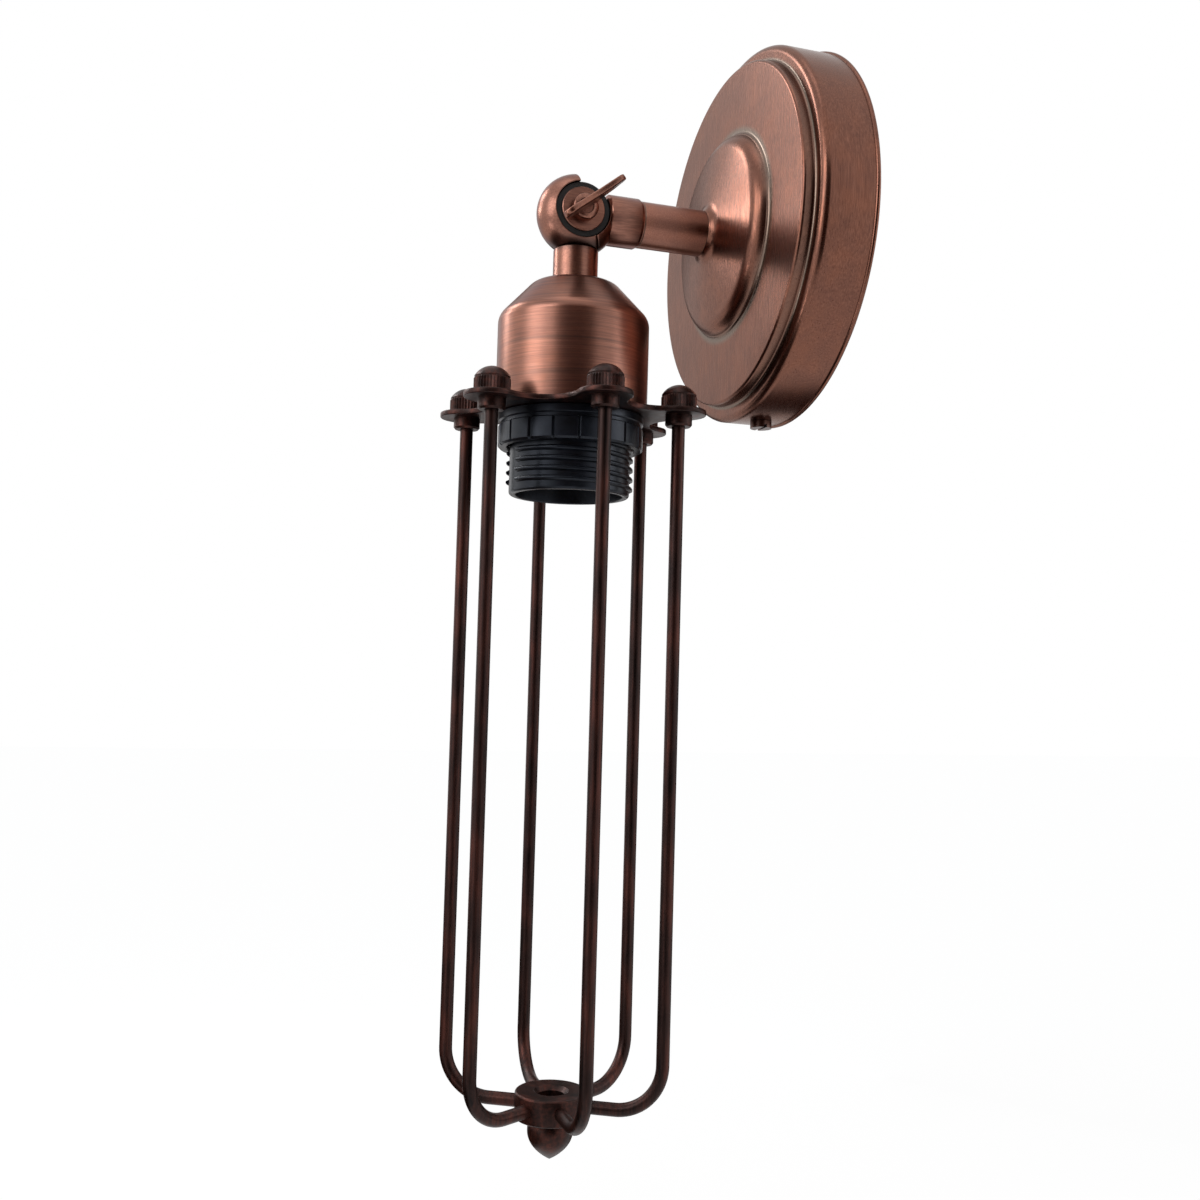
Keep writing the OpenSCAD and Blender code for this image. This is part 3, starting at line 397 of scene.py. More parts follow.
# The hollow curve that sweeps up from the crown to the tube's seam
slope = radians(CROWN_SLOPE)
neck_rise = (SEAM - crown(TUBE_R, DOME_ROUND)) * cos(slope)
neck_run = sqrt(2 * FLARE_R * neck_rise - neck_rise ** 2)
flare_out = (FLARE_R - neck_rise) * sin(slope) + neck_run * cos(slope)
flare_up = (FLARE_R - neck_rise) * cos(slope) - neck_run * sin(slope)
mouth_turn = 180 + degrees(atan2(flare_up, flare_out))
rose_front = (
    [(SKIRT_R - 0.5, 0.0)] + arc((ROSE_R - BEAD_R, BEAD_R), BEAD_R, -90, 80, 8) + [(SKIRT_R, BEAD_TOP)]
    + arc((SKIRT_R - SKIRT_ROUND, SHOULDER - SKIRT_ROUND), SKIRT_ROUND, 0, 90, 14)
    + arc((DISC_R + GROOVE_R, SHOULDER + GROOVE_R - GROOVE_SUNK), GROOVE_R, 270, 180, 8)
    + arc((DISC_R - DISC_ROUND, DISC - DISC_ROUND), DISC_ROUND, 0, 90, 10)
    + arc((DOME_R + DOME_FOOT, DISC + DOME_FOOT_R), DOME_FOOT_R, 270, 205, 8)
    + arc((DOME_R - DOME_ROUND, DOME_MID), DOME_ROUND, 18, 90 - CROWN_SLOPE, 14)
    + [(r, crown(r, DOME_ROUND)) for r in (23, 19, 15)]
    + arc((TUBE_R + flare_out, SEAM + flare_up), FLARE_R, 270 - CROWN_SLOPE, mouth_turn, 12))
rose_back = (
    [(ROD_HOLE_R, SEAM), (ROD_HOLE_R, SEAT), (SEAT_R, SEAT)]
    + [(r, crown(r, DOME_ROUND - SHEET)) for r in (10, 20)]
    + arc((DOME_R - DOME_ROUND, DOME_MID), DOME_ROUND - SHEET, 90 - CROWN_SLOPE, 0, 6)
    + [(DOME_R - SHEET, DISC - SHEET), (DISC_R - SHEET - SHEET_ROUND, DISC - SHEET)]
    + [(DISC_R - SHEET, DISC - SHEET - SHEET_ROUND), (DISC_R - SHEET, SHOULDER - SHEET)]
    + arc((SKIRT_R - SKIRT_ROUND, SHOULDER - SKIRT_ROUND), SKIRT_ROUND - SHEET, 90, 0, 6)
    + [(SKIRT_R - SHEET, 0.0)])


def rose_dark(tree):
    """The groove round the raised disc, and the dome's foot."""
    out = distance_from(tree, (1, 0, 1))
    return strongest(tree, [near(tree, out, DISC_R + 0.6, 0.9), near(tree, out, DOME_R + 1.0, 2.2)])


# Brushed up and down across the whole rose, and a shade darker than the rest.
rose_copper = antique_copper("antique_copper_plate_brushed_upright", (0.35, 0.35, 9), rose_dark,
                             roughness=(0.2, 0.32), dark="#6c6258", lacquer=0.4, tone=0.72,
                             edge="#cfc6c2")
piece("rose", turned(rose_front + rose_back, OUT, 256), rose_copper, "wall_base", "antique_copper",
      "wall_rose")


# ---- Rose side screws -------------------------------------------------------------------------
# Two small screws that hold the rose to the strap's tabs, from above and below. They are plated
# like the rose, in a darker and duller tone.
screw_copper = antique_copper("antique_copper_plate_on_screws", (0.6, 0.6, 0.6), None,
                              roughness=(0.32, 0.45), tone=0.45)
refinish(screw_copper, "rose_side_screws")


# ---- Arm tube ---------------------------------------------------------------------------------
# Thin copper-plated tube over the hollow threaded rod, clamped end to end between the rose's neck
# and the knuckle. Each end has a fine broken edge, which reads as a dark line at the joints.
TUBE_L, TUBE_WALL, TUBE_EDGE, SEAM_DARK = 21.2, 1, 0.15, 0.35
SPIGOT = SEAM + TUBE_L
refinish(zinc, "arm_nipple", "arm_washer")
refinish(brass, "arm_locknut")


def ring_section(inner, outer, low, high, low_edge=0.0, high_edge=0.0):
    """A turned ring in section, with its outer corners broken by the given edges."""
    outline = [(inner, low), (outer - low_edge, low), (outer, low + low_edge),
               (outer, high - high_edge), (outer - high_edge, high), (inner, high)]
    return list(dict.fromkeys(outline))


def arm_dark(tree):
    """The two ends of the tube."""
    place = add(tree, "ShaderNodeTexCoord").outputs["Object"]
    along = add(tree, "ShaderNodeSeparateXYZ", {0: place}).outputs["Y"]
    return strongest(tree, [near(tree, along, -seam, SEAM_DARK) for seam in (SEAM, SPIGOT)])


# Fine even specks in place of strokes, in a paler and duller tone than the rose.
arm_copper = antique_copper("antique_copper_plate_brushed_round", (0.3, 0.3, 0.3), arm_dark,
                            roughness=(0.3, 0.42), tone=1.25)
tube = ring_section(TUBE_R - TUBE_WALL, TUBE_R, SEAM, SPIGOT, TUBE_EDGE, TUBE_EDGE)
piece("arm_tube_sleeve", turned(tube, OUT, 96), arm_copper, "wall_base", "antique_copper", "arm_tube")


# ---- Knuckle, arm half ------------------------------------------------------------------------
# Cast and turned: a spigot and a bevelled collar on the arm, and a lug that the lamp stops on,
# with the eye inside that the lamp turns round.
COLLAR, COLLAR_END, COLLAR_R, COLLAR_BORE = SPIGOT + 0.4, SPIGOT + 11.2, 7.8, TUBE_R - 1.2
COLLAR_STEP, COLLAR_BEVEL, COLLAR_EDGE = 0.1, 0.7, 0.3
KNUCKLE_R, RIM_R, HALF_W, DRUM_EDGE = 12.8, 8.8, 7.2, 0.25
EYE_R, EYE_LEFT, EYE_RIGHT, EYE_EDGE = 8.65, -4.6, 5.4, 0.2
BORE_R, LUG_R, LUG_FROM, LUG_TO, SCREW_BORE = 8.7, 8.75, -60, 30, 2.6

ALONG_PIVOT = (PIVOT, Vector((1, 0, 0)), Vector((0, 1, 0)))
edge_r = KNUCKLE_R - RIM_R + sqrt(RIM_R ** 2 - HALF_W ** 2)
edge_turn = 90 - degrees(atan2(edge_r - KNUCKLE_R + RIM_R, HALF_W))


def drum(inner):
    """The knuckle's rounded drum in section, from one side face to the other."""
    rim = arc((KNUCKLE_R - RIM_R, 0), RIM_R, -edge_turn, edge_turn, 24)
    return [(inner, -HALF_W)] + rim + [(inner, HALF_W)]


def sector(outline, start, end):
    """Part of a turned drum between two angles round the pivot, with its cut ends rounded off."""
    shape = turned(outline, ALONG_PIVOT, int((end - start) / 3), radians(end - start), radians(start))
    bmesh.ops.bevel(shape, geom=[e for e in shape.edges if e.calc_face_angle(0) > radians(50)],
                    offset=DRUM_EDGE * MM, segments=2, profile=0.5, affect="EDGES", material=-1)
    return shape


def joined(*shapes):
    """Several closed shapes in one mesh."""
    whole = shapes[0]
    for other in shapes[1:]:
        held = bpy.data.meshes.new("held")
        other.to_mesh(held)
        other.free()
        whole.from_mesh(held)
        bpy.data.meshes.remove(held)
    return whole


def knuckle_crevice_and_painted_shade(tree):
    """The dark crevice round the eye, and painted shade on the knuckle's underside by the neck."""
    place = add(tree, "ShaderNodeTexCoord").outputs["Object"]
    centred = add(tree, "ShaderNodeVectorMath", {0: place, 1: -PIVOT}, operation="ADD").outputs[0]
    height = add(tree, "ShaderNodeSeparateXYZ", {0: centred}).outputs["Z"]
    flat = add(tree, "ShaderNodeVectorMath", {0: centred, 1: (0, 1, 1)}, operation="MULTIPLY").outputs[0]
    out = add(tree, "ShaderNodeVectorMath", {0: flat}, operation="LENGTH").outputs["Value"]
    return strongest(tree, [near(tree, out, BORE_R - 0.1, 0.5), near(tree, height, -10.4, 3.0)])


# Brushed along the arm, on both halves of the knuckle and on the clamp washer.
# Its deep red-brown tone under the knuckle by the neck is painted shade.
knuckle_copper = antique_copper("antique_copper_plate_on_casting", (0.4, 5, 0.4), knuckle_crevice_and_painted_shade,
                                dark="#3a241c")
collar = [(COLLAR_BORE, SPIGOT), (TUBE_R - TUBE_EDGE, SPIGOT), (TUBE_R, SPIGOT + TUBE_EDGE),
          (TUBE_R, COLLAR), (TUBE_R + COLLAR_STEP, COLLAR),
          (COLLAR_R - COLLAR_STEP, COLLAR + COLLAR_BEVEL), (COLLAR_R, COLLAR + COLLAR_BEVEL + 0.2),
          (COLLAR_R, COLLAR_END - COLLAR_EDGE), (COLLAR_R - COLLAR_EDGE, COLLAR_END),
          (COLLAR_BORE, COLLAR_END)]
eye_drum = ring_section(SCREW_BORE, EYE_R, EYE_LEFT, EYE_RIGHT, EYE_EDGE, EYE_EDGE)
arm_half = joined(turned(collar, OUT, 96), sector(drum(LUG_R), LUG_FROM, LUG_TO),
                  turned(eye_drum, ALONG_PIVOT, 96))
piece("knuckle_arm_half", arm_half, knuckle_copper, "wall_base", "antique_copper", "knuckle_arm")


# ---- Friction ring and clamp washer -----------------------------------------------------------
# A black vulcanised fibre ring that grips the eye's side, and a copper-plated washer that the wing
# screw presses on it.
FIBRE_R, FIBRE_T, FIBRE_EDGE = 8.6, 1.2, 0.15
WASHER_R, WASHER_T, WASHER_EDGE = 6.85, 0.8, 0.2
fibre_face = EYE_RIGHT + FIBRE_T
washer_face = fibre_face + WASHER_T

# Pressed fibre: a dry brownish black with no shine.
fibre = stock_finish("black_vulcanised_fibre", "#141312", "#232120", metallic=0.0, roughness=(0.55, 0.75),
                     speck_mm=(0.8, 0.8, 0.8), bump_mm=0.03)
fibre_ring = ring_section(SCREW_BORE, FIBRE_R, EYE_RIGHT, fibre_face, high_edge=FIBRE_EDGE)
washer = ring_section(SCREW_BORE, WASHER_R, fibre_face, washer_face, high_edge=WASHER_EDGE)
piece("friction_fibre_ring", turned(fibre_ring, ALONG_PIVOT, 96), fibre, "wall_base", "fibre",
      "friction_ring")
piece("clamp_washer_disc", turned(washer, ALONG_PIVOT, 96), knuckle_copper, "wall_base",
      "bright_copper", "clamp_washer")


# ---- Knuckle, head half -----------------------------------------------------------------------
# A cast hook round the eye, open at its upper back so that the lamp can tilt, closed by a rear
# disc that the wing screw threads into, with the neck that the cup hangs from.
HOOK_FROM, HOOK_TO = 97, 298.7
CUP_TOP, NECK_TOP, NECK_R, NECK_BORE, NECK_EDGE, CUP_SEAM = -22.0, -11.2, 7.0, 3.6, 0.3, 0.15
REAR_BORE, REAR_IN, REAR_EDGE = 2.55, -4.7, 0.3

DOWN_HEAD = (PIVOT, Vector((0, 0, 1)), Vector((1, 0, 0)))
neck = ring_section(NECK_BORE, NECK_R, CUP_TOP, NECK_TOP, CUP_SEAM, NECK_EDGE)
rear_disc = ring_section(REAR_BORE, BORE_R, -HALF_W, REAR_IN, low_edge=REAR_EDGE)
head_half = joined(sector(drum(BORE_R), HOOK_FROM, HOOK_TO), turned(rear_disc, ALONG_PIVOT, 96),
                   turned(neck, DOWN_HEAD, 96))
piece("knuckle_head_half", head_half, knuckle_copper, "lamp_head", "antique_copper", "knuckle_head")


# ---- Wing screw -------------------------------------------------------------------------------
# A cast wing screw with a round hub and two flat wings, plated like the rest. It clamps the fibre
# ring, and a turn of it frees the tilt.
WINGS_AT, WING_T, WING_EDGE = radians(38), 1.8, 0.4
STEM_R, STEM_EDGE, STEM_LAP = 2.5, 0.2, 0.1
BOSS_R, BOSS_TOP, DIMPLE_R, DIMPLE = 4.0, 10.4, 2.2, 10.1
TIP_OUT, TIP_UP, TIP_R = 8.9, 18.6, 2.6

# Brushed along the screw, over both wings.
wing_copper = antique_copper("antique_copper_plate_on_wings", (3, 0.5, 0.5), None,
                             roughness=(0.24, 0.38))
boss = [(0, washer_face), (BOSS_R, washer_face), (BOSS_R, BOSS_TOP - 0.5), (BOSS_R - 0.3, BOSS_TOP - 0.1),
        (DIMPLE_R + 0.2, BOSS_TOP), (DIMPLE_R, DIMPLE), (0, DIMPLE)]
stem = [(0, -HALF_W), (STEM_R - STEM_EDGE, -HALF_W), (STEM_R, STEM_EDGE - HALF_W),
        (STEM_R, washer_face + STEM_LAP), (0, washer_face + STEM_LAP)]
# Half of the wings from the side, as distances out from the screw's axis and along it: up the
# flank, round the tip and down into the dip over the hub
half_wing = [(0.0, 8.8), (3.4, 8.8), (4.3, 10.8), (6.2, 12.6), (8.8, 14.4)] + \
    arc((TIP_OUT, TIP_UP), TIP_R, -50, 88, 14) + [(6.0, 20.9), (3.0, 20.55), (0.0, 20.4)]
whole_wing = half_wing + [(-out, along) for out, along in reversed(half_wing[1:-1])]
across_wing = Vector((0, cos(WINGS_AT), sin(WINGS_AT)))
through_wing = Vector((0, -sin(WINGS_AT), cos(WINGS_AT)))
wings = bmesh.new()
rim = [wings.verts.new(PIVOT + (across_wing * out + Vector((along, 0, 0))
                                - through_wing * WING_T / 2) * MM) for out, along in whole_wing]
lifted = bmesh.ops.extrude_face_region(wings, geom=[wings.faces.new(rim)])
bmesh.ops.translate(wings, verts=[v for v in lifted["geom"] if isinstance(v, bmesh.types.BMVert)],
                    vec=through_wing * WING_T * MM)
bmesh.ops.recalc_face_normals(wings, faces=wings.faces)
bmesh.ops.bevel(wings, geom=[e for e in wings.edges if e.calc_face_angle(0) > radians(60)],
                offset=WING_EDGE * MM, segments=3, profile=0.5, affect="EDGES", material=-1)
wing_screw = joined(wings, turned(boss, ALONG_PIVOT, 64, closed=False),
                    turned(stem, ALONG_PIVOT, 48, closed=False))
piece("wing_screw_cast", wing_screw, wing_copper, "wing_screw", "antique_copper", "wing_screw",
      crease=50)


# ---- Cup --------------------------------------------------------------------------------------
# A spun copper-plated cup over the lampholder, held by a nut on a hollow rod. It was brushed while
# it turned, so its strokes run round it, in bands of light and dark.
CUP_R, CUP_FOOT, CUP_WALL, CUP_EDGE = 23.5, -62.0, 0.8, 0.2
CUP_SLOPE, CREST_R, CUP_ROUND = 47, 12.8, 5.0
refinish(zinc, "head_nipple", "cup_washer")
refinish(brass, "cup_locknut")

half_slope = radians(CUP_SLOPE / 2)
slope_drop = (CUP_R - CREST_R) * tan(radians(CUP_SLOPE))
crest_centre = (CREST_R - CUP_ROUND * tan(half_slope), CUP_TOP - CUP_ROUND)
side_centre = (CUP_R - CUP_ROUND, CUP_TOP - slope_drop - CUP_ROUND * tan(pi / 4 - half_slope))


def cup_line(inset):
    """The cup's section from its axis to its side, drawn inset inside its outer face."""
    return ([(ROD_HOLE_R, CUP_TOP - inset)]
            + arc(crest_centre, CUP_ROUND - inset, 90, 90 - CUP_SLOPE, 10)
            + arc(side_centre, CUP_ROUND - inset, 90 - CUP_SLOPE, 0, 10))


cup_out = cup_line(0) + [(CUP_R, CUP_FOOT + CUP_EDGE), (CUP_R - CUP_EDGE, CUP_FOOT)]
cup_in = [(CUP_R - CUP_WALL, CUP_FOOT)] + list(reversed(cup_line(CUP_WALL)))


def cup_dark(tree):
    """The cup's top and foot, and uneven bands between that the brush left."""
    place = add(tree, "ShaderNodeTexCoord").outputs["Object"]
    height = add(tree, "ShaderNodeSeparateXYZ", {0: place}).outputs["Z"]
    bands = add(tree, "ShaderNodeMapRange", {"Value": grain(tree, (60, 60, 0.55), 3.0),
                "From Min": 0.5, "From Max": 0.72, "To Min": 0.0, "To Max": 0.8}).outputs["Result"]
    return strongest(tree, [near(tree, height, CUP_TOP, 1.0), near(tree, height, CUP_FOOT, 1.2), bands])


# Long strokes round the cup, in fine rings of light and dark.
cup_copper = antique_copper("antique_copper_plate_brushed_turning", (14, 14, 0.3), cup_dark,
                            dark="#5a3c31")
piece("cup", turned(cup_out + cup_in, DOWN_HEAD, 160), cup_copper, "lamp_head", "antique_copper",
      "lampholder_cup")


# ---- Cage collar ------------------------------------------------------------------------------
# A stamped steel plate with six rounded lobes and bevelled edges, oil-rubbed to a dark bronze.
RODS, PLATE_T, PLATE_EDGE, PLATE_BORE_R = 6, 1.6, 0.35, 20.0
LOBE_AT, LOBE_R, SCALLOP_R = 34.0, 8.09, 26.6
PLATE_TOP, PLATE_UNDER = CUP_FOOT, CUP_FOOT - PLATE_T


def oil_rubbed_bronze(name, stroke_mm):
    """Dark bronze paint, rubbed back so that red-brown shows through in soft clouds and strokes."""
    made, tree = empty_material(name)
    strokes = grain(tree, stroke_mm, 3.0)
    mixed = add(tree, "ShaderNodeMix", {"Factor": 0.55, 2: strokes, 3: grain(tree, (7, 7, 20))})
    colour = add(tree, "ShaderNodeValToRGB", {"Fac": mixed.outputs[0]},
                 stops=[(0.34, "#150e0d"), (0.5, "#35201c"), (0.68, "#582f26")])
    gloss = add(tree, "ShaderNodeMapRange", {"Value": strokes, "To Min": 0.3, "To Max": 0.48})
    rubbed = add(tree, "ShaderNodeBump", {"Height": strokes, "Distance": 0.015 * MM})
    surface = add(tree, "ShaderNodeBsdfPrincipled", {
        "Base Color": colour.outputs["Color"], "Metallic": 0.75,
        "Roughness": gloss.outputs["Result"], "Normal": rubbed.outputs["Normal"]})
    add(tree, "ShaderNodeOutputMaterial", {"Surface": surface.outputs[0]})
    return made


plate_bronze = oil_rubbed_bronze("oil_rubbed_bronze_on_plate", (2, 2, 2))
# Each hollow between two lobes is an arc that touches both of them.
hollow_at = (LOBE_AT ** 2 - (SCALLOP_R - LOBE_R) ** 2) / \
    (2 * (LOBE_AT * cos(pi / RODS) - (SCALLOP_R - LOBE_R)))
touch = atan2(hollow_at * sin(pi / RODS), hollow_at * cos(pi / RODS) - LOBE_AT)
edge = []
for i in range(RODS):
    turn, next_turn = 2 * pi * i / RODS, 2 * pi * i / RODS + pi / RODS
    lobe = (LOBE_AT * cos(turn), LOBE_AT * sin(turn))
    hollow = (hollow_at * cos(next_turn), hollow_at * sin(next_turn))
    edge += arc(lobe, LOBE_R, degrees(turn - touch), degrees(turn + touch), 20)[:-1]
    back = 180 + degrees(turn + touch)
    edge += arc(hollow, hollow_at - SCALLOP_R, back, back - 2 * degrees(touch - pi / RODS), 14)[:-1]
plate = bmesh.new()
outer, inner = ([plate.verts.new(PIVOT + Vector((x, y, PLATE_TOP)) * MM) for x, y in line]
                for line in (edge, arc((0, 0), PLATE_BORE_R, 0, 360, len(edge))[:-1]))
loops = [plate.edges.new(pair) for ring in (outer, inner) for pair in zip(ring, ring[1:] + ring[:1])]
bmesh.ops.bridge_loops(plate, edges=loops)
sheet = bmesh.ops.extrude_face_region(plate, geom=list(plate.faces))
bmesh.ops.translate(plate, verts=[v for v in sheet["geom"] if isinstance(v, bmesh.types.BMVert)],
                    vec=(0, 0, -PLATE_T * MM))
bmesh.ops.recalc_face_normals(plate, faces=plate.faces)
bmesh.ops.bevel(plate, geom=[e for e in plate.edges if e.calc_face_angle(0) > radians(70)],
                offset=PLATE_EDGE * MM, segments=3, profile=0.5, affect="EDGES", material=-1)
piece("cage_collar_plate", plate, plate_bronze, "lamp_head", "dark_bronze", "cage_collar")


# ---- Cage rods --------------------------------------------------------------------------------
# Six steel rods, each bent round once at its foot and set into the hub. They carry the same
# rubbed bronze, with the strokes along them.
ROD_AT, ROD_R, ROD_TOP, ROD_IN = 33.7, 2.0, -56.5, 7.5
BEND_R, ROD_FOOT, STRAIGHT_PARTS = 14.0, -272.1, 4
rod_bronze = oil_rubbed_bronze("oil_rubbed_bronze_on_rods", (0.8, 0.8, 14))


def drawn_on(shape, ring, step):
    """Draws the open ring of a rod out by a step, and returns its new ring."""
    lines = [e for e in shape.edges if e.verts[0] in ring and e.verts[1] in ring]
    made = bmesh.ops.extrude_edge_only(shape, edges=lines)["geom"]
    ends = [v for v in made if isinstance(v, bmesh.types.BMVert)]
    bmesh.ops.translate(shape, verts=ends, vec=step)
    return ends


def round_cage(shape, place):
    """Turns a part round the cage to its place, and hangs it from the pivot."""
    bmesh.ops.rotate(shape, verts=shape.verts, cent=(0, 0, 0),
                     matrix=Matrix.Rotation(2 * pi * place / RODS, 3, "Z"))
    bmesh.ops.translate(shape, verts=shape.verts, vec=PIVOT)
    return shape


for i in range(RODS):
    rod = bmesh.new()
    ring = bmesh.ops.create_circle(rod, segments=32, radius=ROD_R * MM,
                                   matrix=Matrix.Translation(Vector((ROD_AT, 0, ROD_TOP)) * MM))["verts"]
    for part in range(STRAIGHT_PARTS):
        ring = drawn_on(rod, ring, Vector((0, 0, (ROD_FOOT + BEND_R - ROD_TOP) / STRAIGHT_PARTS)) * MM)
    lines = [e for e in rod.edges if e.verts[0] in ring and e.verts[1] in ring]
    bent = bmesh.ops.spin(rod, geom=ring + lines, cent=Vector((ROD_AT - BEND_R, 0, ROD_FOOT + BEND_R)) * MM,
                          axis=(0, 1, 0), angle=pi / 2, steps=20)["geom_last"]
    ring = [v for v in bent if isinstance(v, bmesh.types.BMVert)]
    drawn_on(rod, ring, Vector((ROD_IN - ROD_AT + BEND_R, 0, 0)) * MM)
    bmesh.ops.remove_doubles(rod, verts=rod.verts, dist=1e-6)
    bmesh.ops.holes_fill(rod, edges=[e for e in rod.edges if e.is_boundary])
    bmesh.ops.recalc_face_normals(rod, faces=rod.faces)
    piece("rod_%d" % (i + 1), round_cage(rod, i), rod_bronze, "lamp_head", "dark_bronze",
          "cage_rod_%d" % (i + 1))


# ---- Dome nuts --------------------------------------------------------------------------------
# Brass dome nuts on the rods' threaded tops, each with a finely knurled band under a smooth dome.
NUT_R, NUT_BORE, BAND_H, DOME_H = 5.5, 2.1, 4.3, 3.5
KNURLS, KNURL_DEPTH, BAND_IN, BAND_EDGE = 36, 0.3, 0.05, 0.3
UPRIGHT = (Vector((0, 0, 0)), Vector((0, 0, 1)), Vector((1, 0, 0)))

nut_bronze = oil_rubbed_bronze("oil_rubbed_bronze_on_nuts", (1.2, 1.2, 1.2))
nut_dome_r = (NUT_R ** 2 + DOME_H ** 2) / (2 * DOME_H)
dome_centre = BAND_H + DOME_H - nut_dome_r
dome_from = degrees(atan2(nut_dome_r - DOME_H, NUT_R)) + 4
band_r = NUT_R - BAND_IN
nut_outline = (
    [(NUT_BORE, 0), (band_r - BAND_EDGE, 0), (band_r, BAND_EDGE)]
    + [(band_r, BAND_H - BAND_EDGE - BAND_IN), (band_r - BAND_EDGE, BAND_H)]
    + arc((0, dome_centre), nut_dome_r, dome_from, 90, 14) + [(0, BAND_H - 1), (NUT_BORE, BAND_H - 1)])


def around(v):
    """A point's angle round a rod's axis."""
    return atan2(v.co.y, v.co.x)


nuts = []
for i in range(RODS):
    nut = turned([(r, PLATE_TOP + h) for r, h in nut_outline], UPRIGHT, 2 * KNURLS)
    for v in nut.verts:
        on_band = NUT_R - 0.1 < v.co.xy.length / MM and 0.2 < v.co.z / MM - PLATE_TOP < BAND_H - 0.2
        if on_band and round(around(v) / (pi / KNURLS)) % 2:
            v.co.x *= (NUT_R - KNURL_DEPTH) / NUT_R
            v.co.y *= (NUT_R - KNURL_DEPTH) / NUT_R
    bmesh.ops.translate(nut, verts=nut.verts, vec=Vector((ROD_AT, 0, 0)) * MM)
    nuts.append(round_cage(nut, i))
piece("knurled_dome_nuts", joined(*nuts), nut_bronze, "lamp_head", "dark_bronze", "dome_nuts", crease=25)


# ---- Ferrules ---------------------------------------------------------------------------------
# Plain turned ferrules, pressed on the rods under the plate.
FERRULE_R, FERRULE_H, FERRULE_FOOT_R, FERRULE_BEVEL = 4.1, 3.5, 3.6, 0.6
ferrule_foot = PLATE_UNDER - FERRULE_H
ferrule = [(NUT_BORE, ferrule_foot), (FERRULE_FOOT_R, ferrule_foot),
           (FERRULE_R, ferrule_foot + FERRULE_BEVEL), (FERRULE_R, PLATE_UNDER), (NUT_BORE, PLATE_UNDER)]
ferrules = []
for i in range(RODS):
    made = turned(ferrule, UPRIGHT, 48)
    bmesh.ops.translate(made, verts=made.verts, vec=Vector((ROD_AT, 0, 0)) * MM)
    ferrules.append(round_cage(made, i))
piece("turned_ferrules", joined(*ferrules), nut_bronze, "lamp_head", "dark_bronze", "ferrules")


# ---- Cage hub and finial ----------------------------------------------------------------------
# A turned hub that the six rods run into, countersunk on top, and a pointed finial screwed into
# it from below, narrow under the hub and fullest a little lower.
HUB_R, HUB_HALF, HUB_BORE, HUB_ROUND, HUB_SINK = 11.0, 3.9, 4.05, 0.7, 1.25
FINIAL_R, FINIAL_H, FINIAL_FULL, FINIAL_NECK, FINIAL_STUD = 6.95, 12.4, 3.4, 5.7, 3.95

hub_top, hub_foot = ROD_FOOT + HUB_HALF, ROD_FOOT - HUB_HALF
hub_outline = (
    [(HUB_BORE, hub_foot), (HUB_R - HUB_ROUND, hub_foot)]
    + arc((HUB_R - HUB_ROUND, hub_foot + HUB_ROUND), HUB_ROUND, -90, 0, 4)
    + arc((HUB_R - HUB_ROUND, hub_top - HUB_ROUND), HUB_ROUND, 0, 90, 4)
    + [(HUB_BORE + HUB_SINK, hub_top), (HUB_BORE, hub_top - HUB_SINK - 0.05)])
piece("hub", turned(hub_outline, DOWN_HEAD, 96), nut_bronze, "lamp_head", "dark_bronze", "cage_hub")

bulge_in, bulge_h = FINIAL_R - FINIAL_NECK, FINIAL_FULL - 0.2
bulge_r = (bulge_in ** 2 + bulge_h ** 2) / (2 * bulge_in)
bulge_from = degrees(atan2(bulge_h, bulge_r - bulge_in))
fullest = hub_foot - FINIAL_FULL
point = [(FINIAL_R * (1 - (i / 20) ** 2.3), fullest - (FINIAL_H - FINIAL_FULL) * i / 20)
         for i in range(21)]
finial_outline = (
    [(0, hub_foot + 3), (FINIAL_STUD, hub_foot + 3), (FINIAL_STUD, hub_foot)]
    + [(FINIAL_NECK - 0.2, hub_foot)]
    + arc((FINIAL_R - bulge_r, fullest), bulge_r, bulge_from, 5, 10) + point)
piece("finial", turned(finial_outline, DOWN_HEAD, 64, closed=False), nut_bronze, "lamp_head",
      "dark_bronze", "cage_finial")


# ---- Lampholder -------------------------------------------------------------------------------
# A moulded phenolic holder: a cap up in the cup round a porcelain contact block, and a skirt with
# a rolled thread for the shade ring. The thread stops short of two flats on the skirt.
SKIRT_D, THREAD_DEPTH, PITCH, TURNS = 39.2, 1.0, 3.0, 7
SKIRT_TOP, PLUG_FOOT, SKIRT_FOOT, FOOT_ROUND = -54.0, -62.0, -88.5, 1.0
MOUTH_R, MOUTH_ROUND = 16.5, 0.4
THREAD_FROM, THREAD_ARC, THREAD_STEPS, THREAD_START, THREAD_CLEAR = -74, 148, 48, 3.2, 0.6
core_r, crest_r = SKIRT_D / 2 - THREAD_DEPTH, SKIRT_D / 2

# Glazed porcelain: a warm white with a wet shine.
porcelain = stock_finish("glazed_porcelain", "#d8d5cc", "#e6e3da", metallic=0.0, roughness=(0.12, 0.22),
                         speck_mm=(4, 4, 4), bump_mm=0.02)
refinish(porcelain, "contact_block")
refinish(brass, "screw_shell", "centre_contact", "side_contact", "holder_terminals")
refinish(zinc, "holder_terminal_screws")

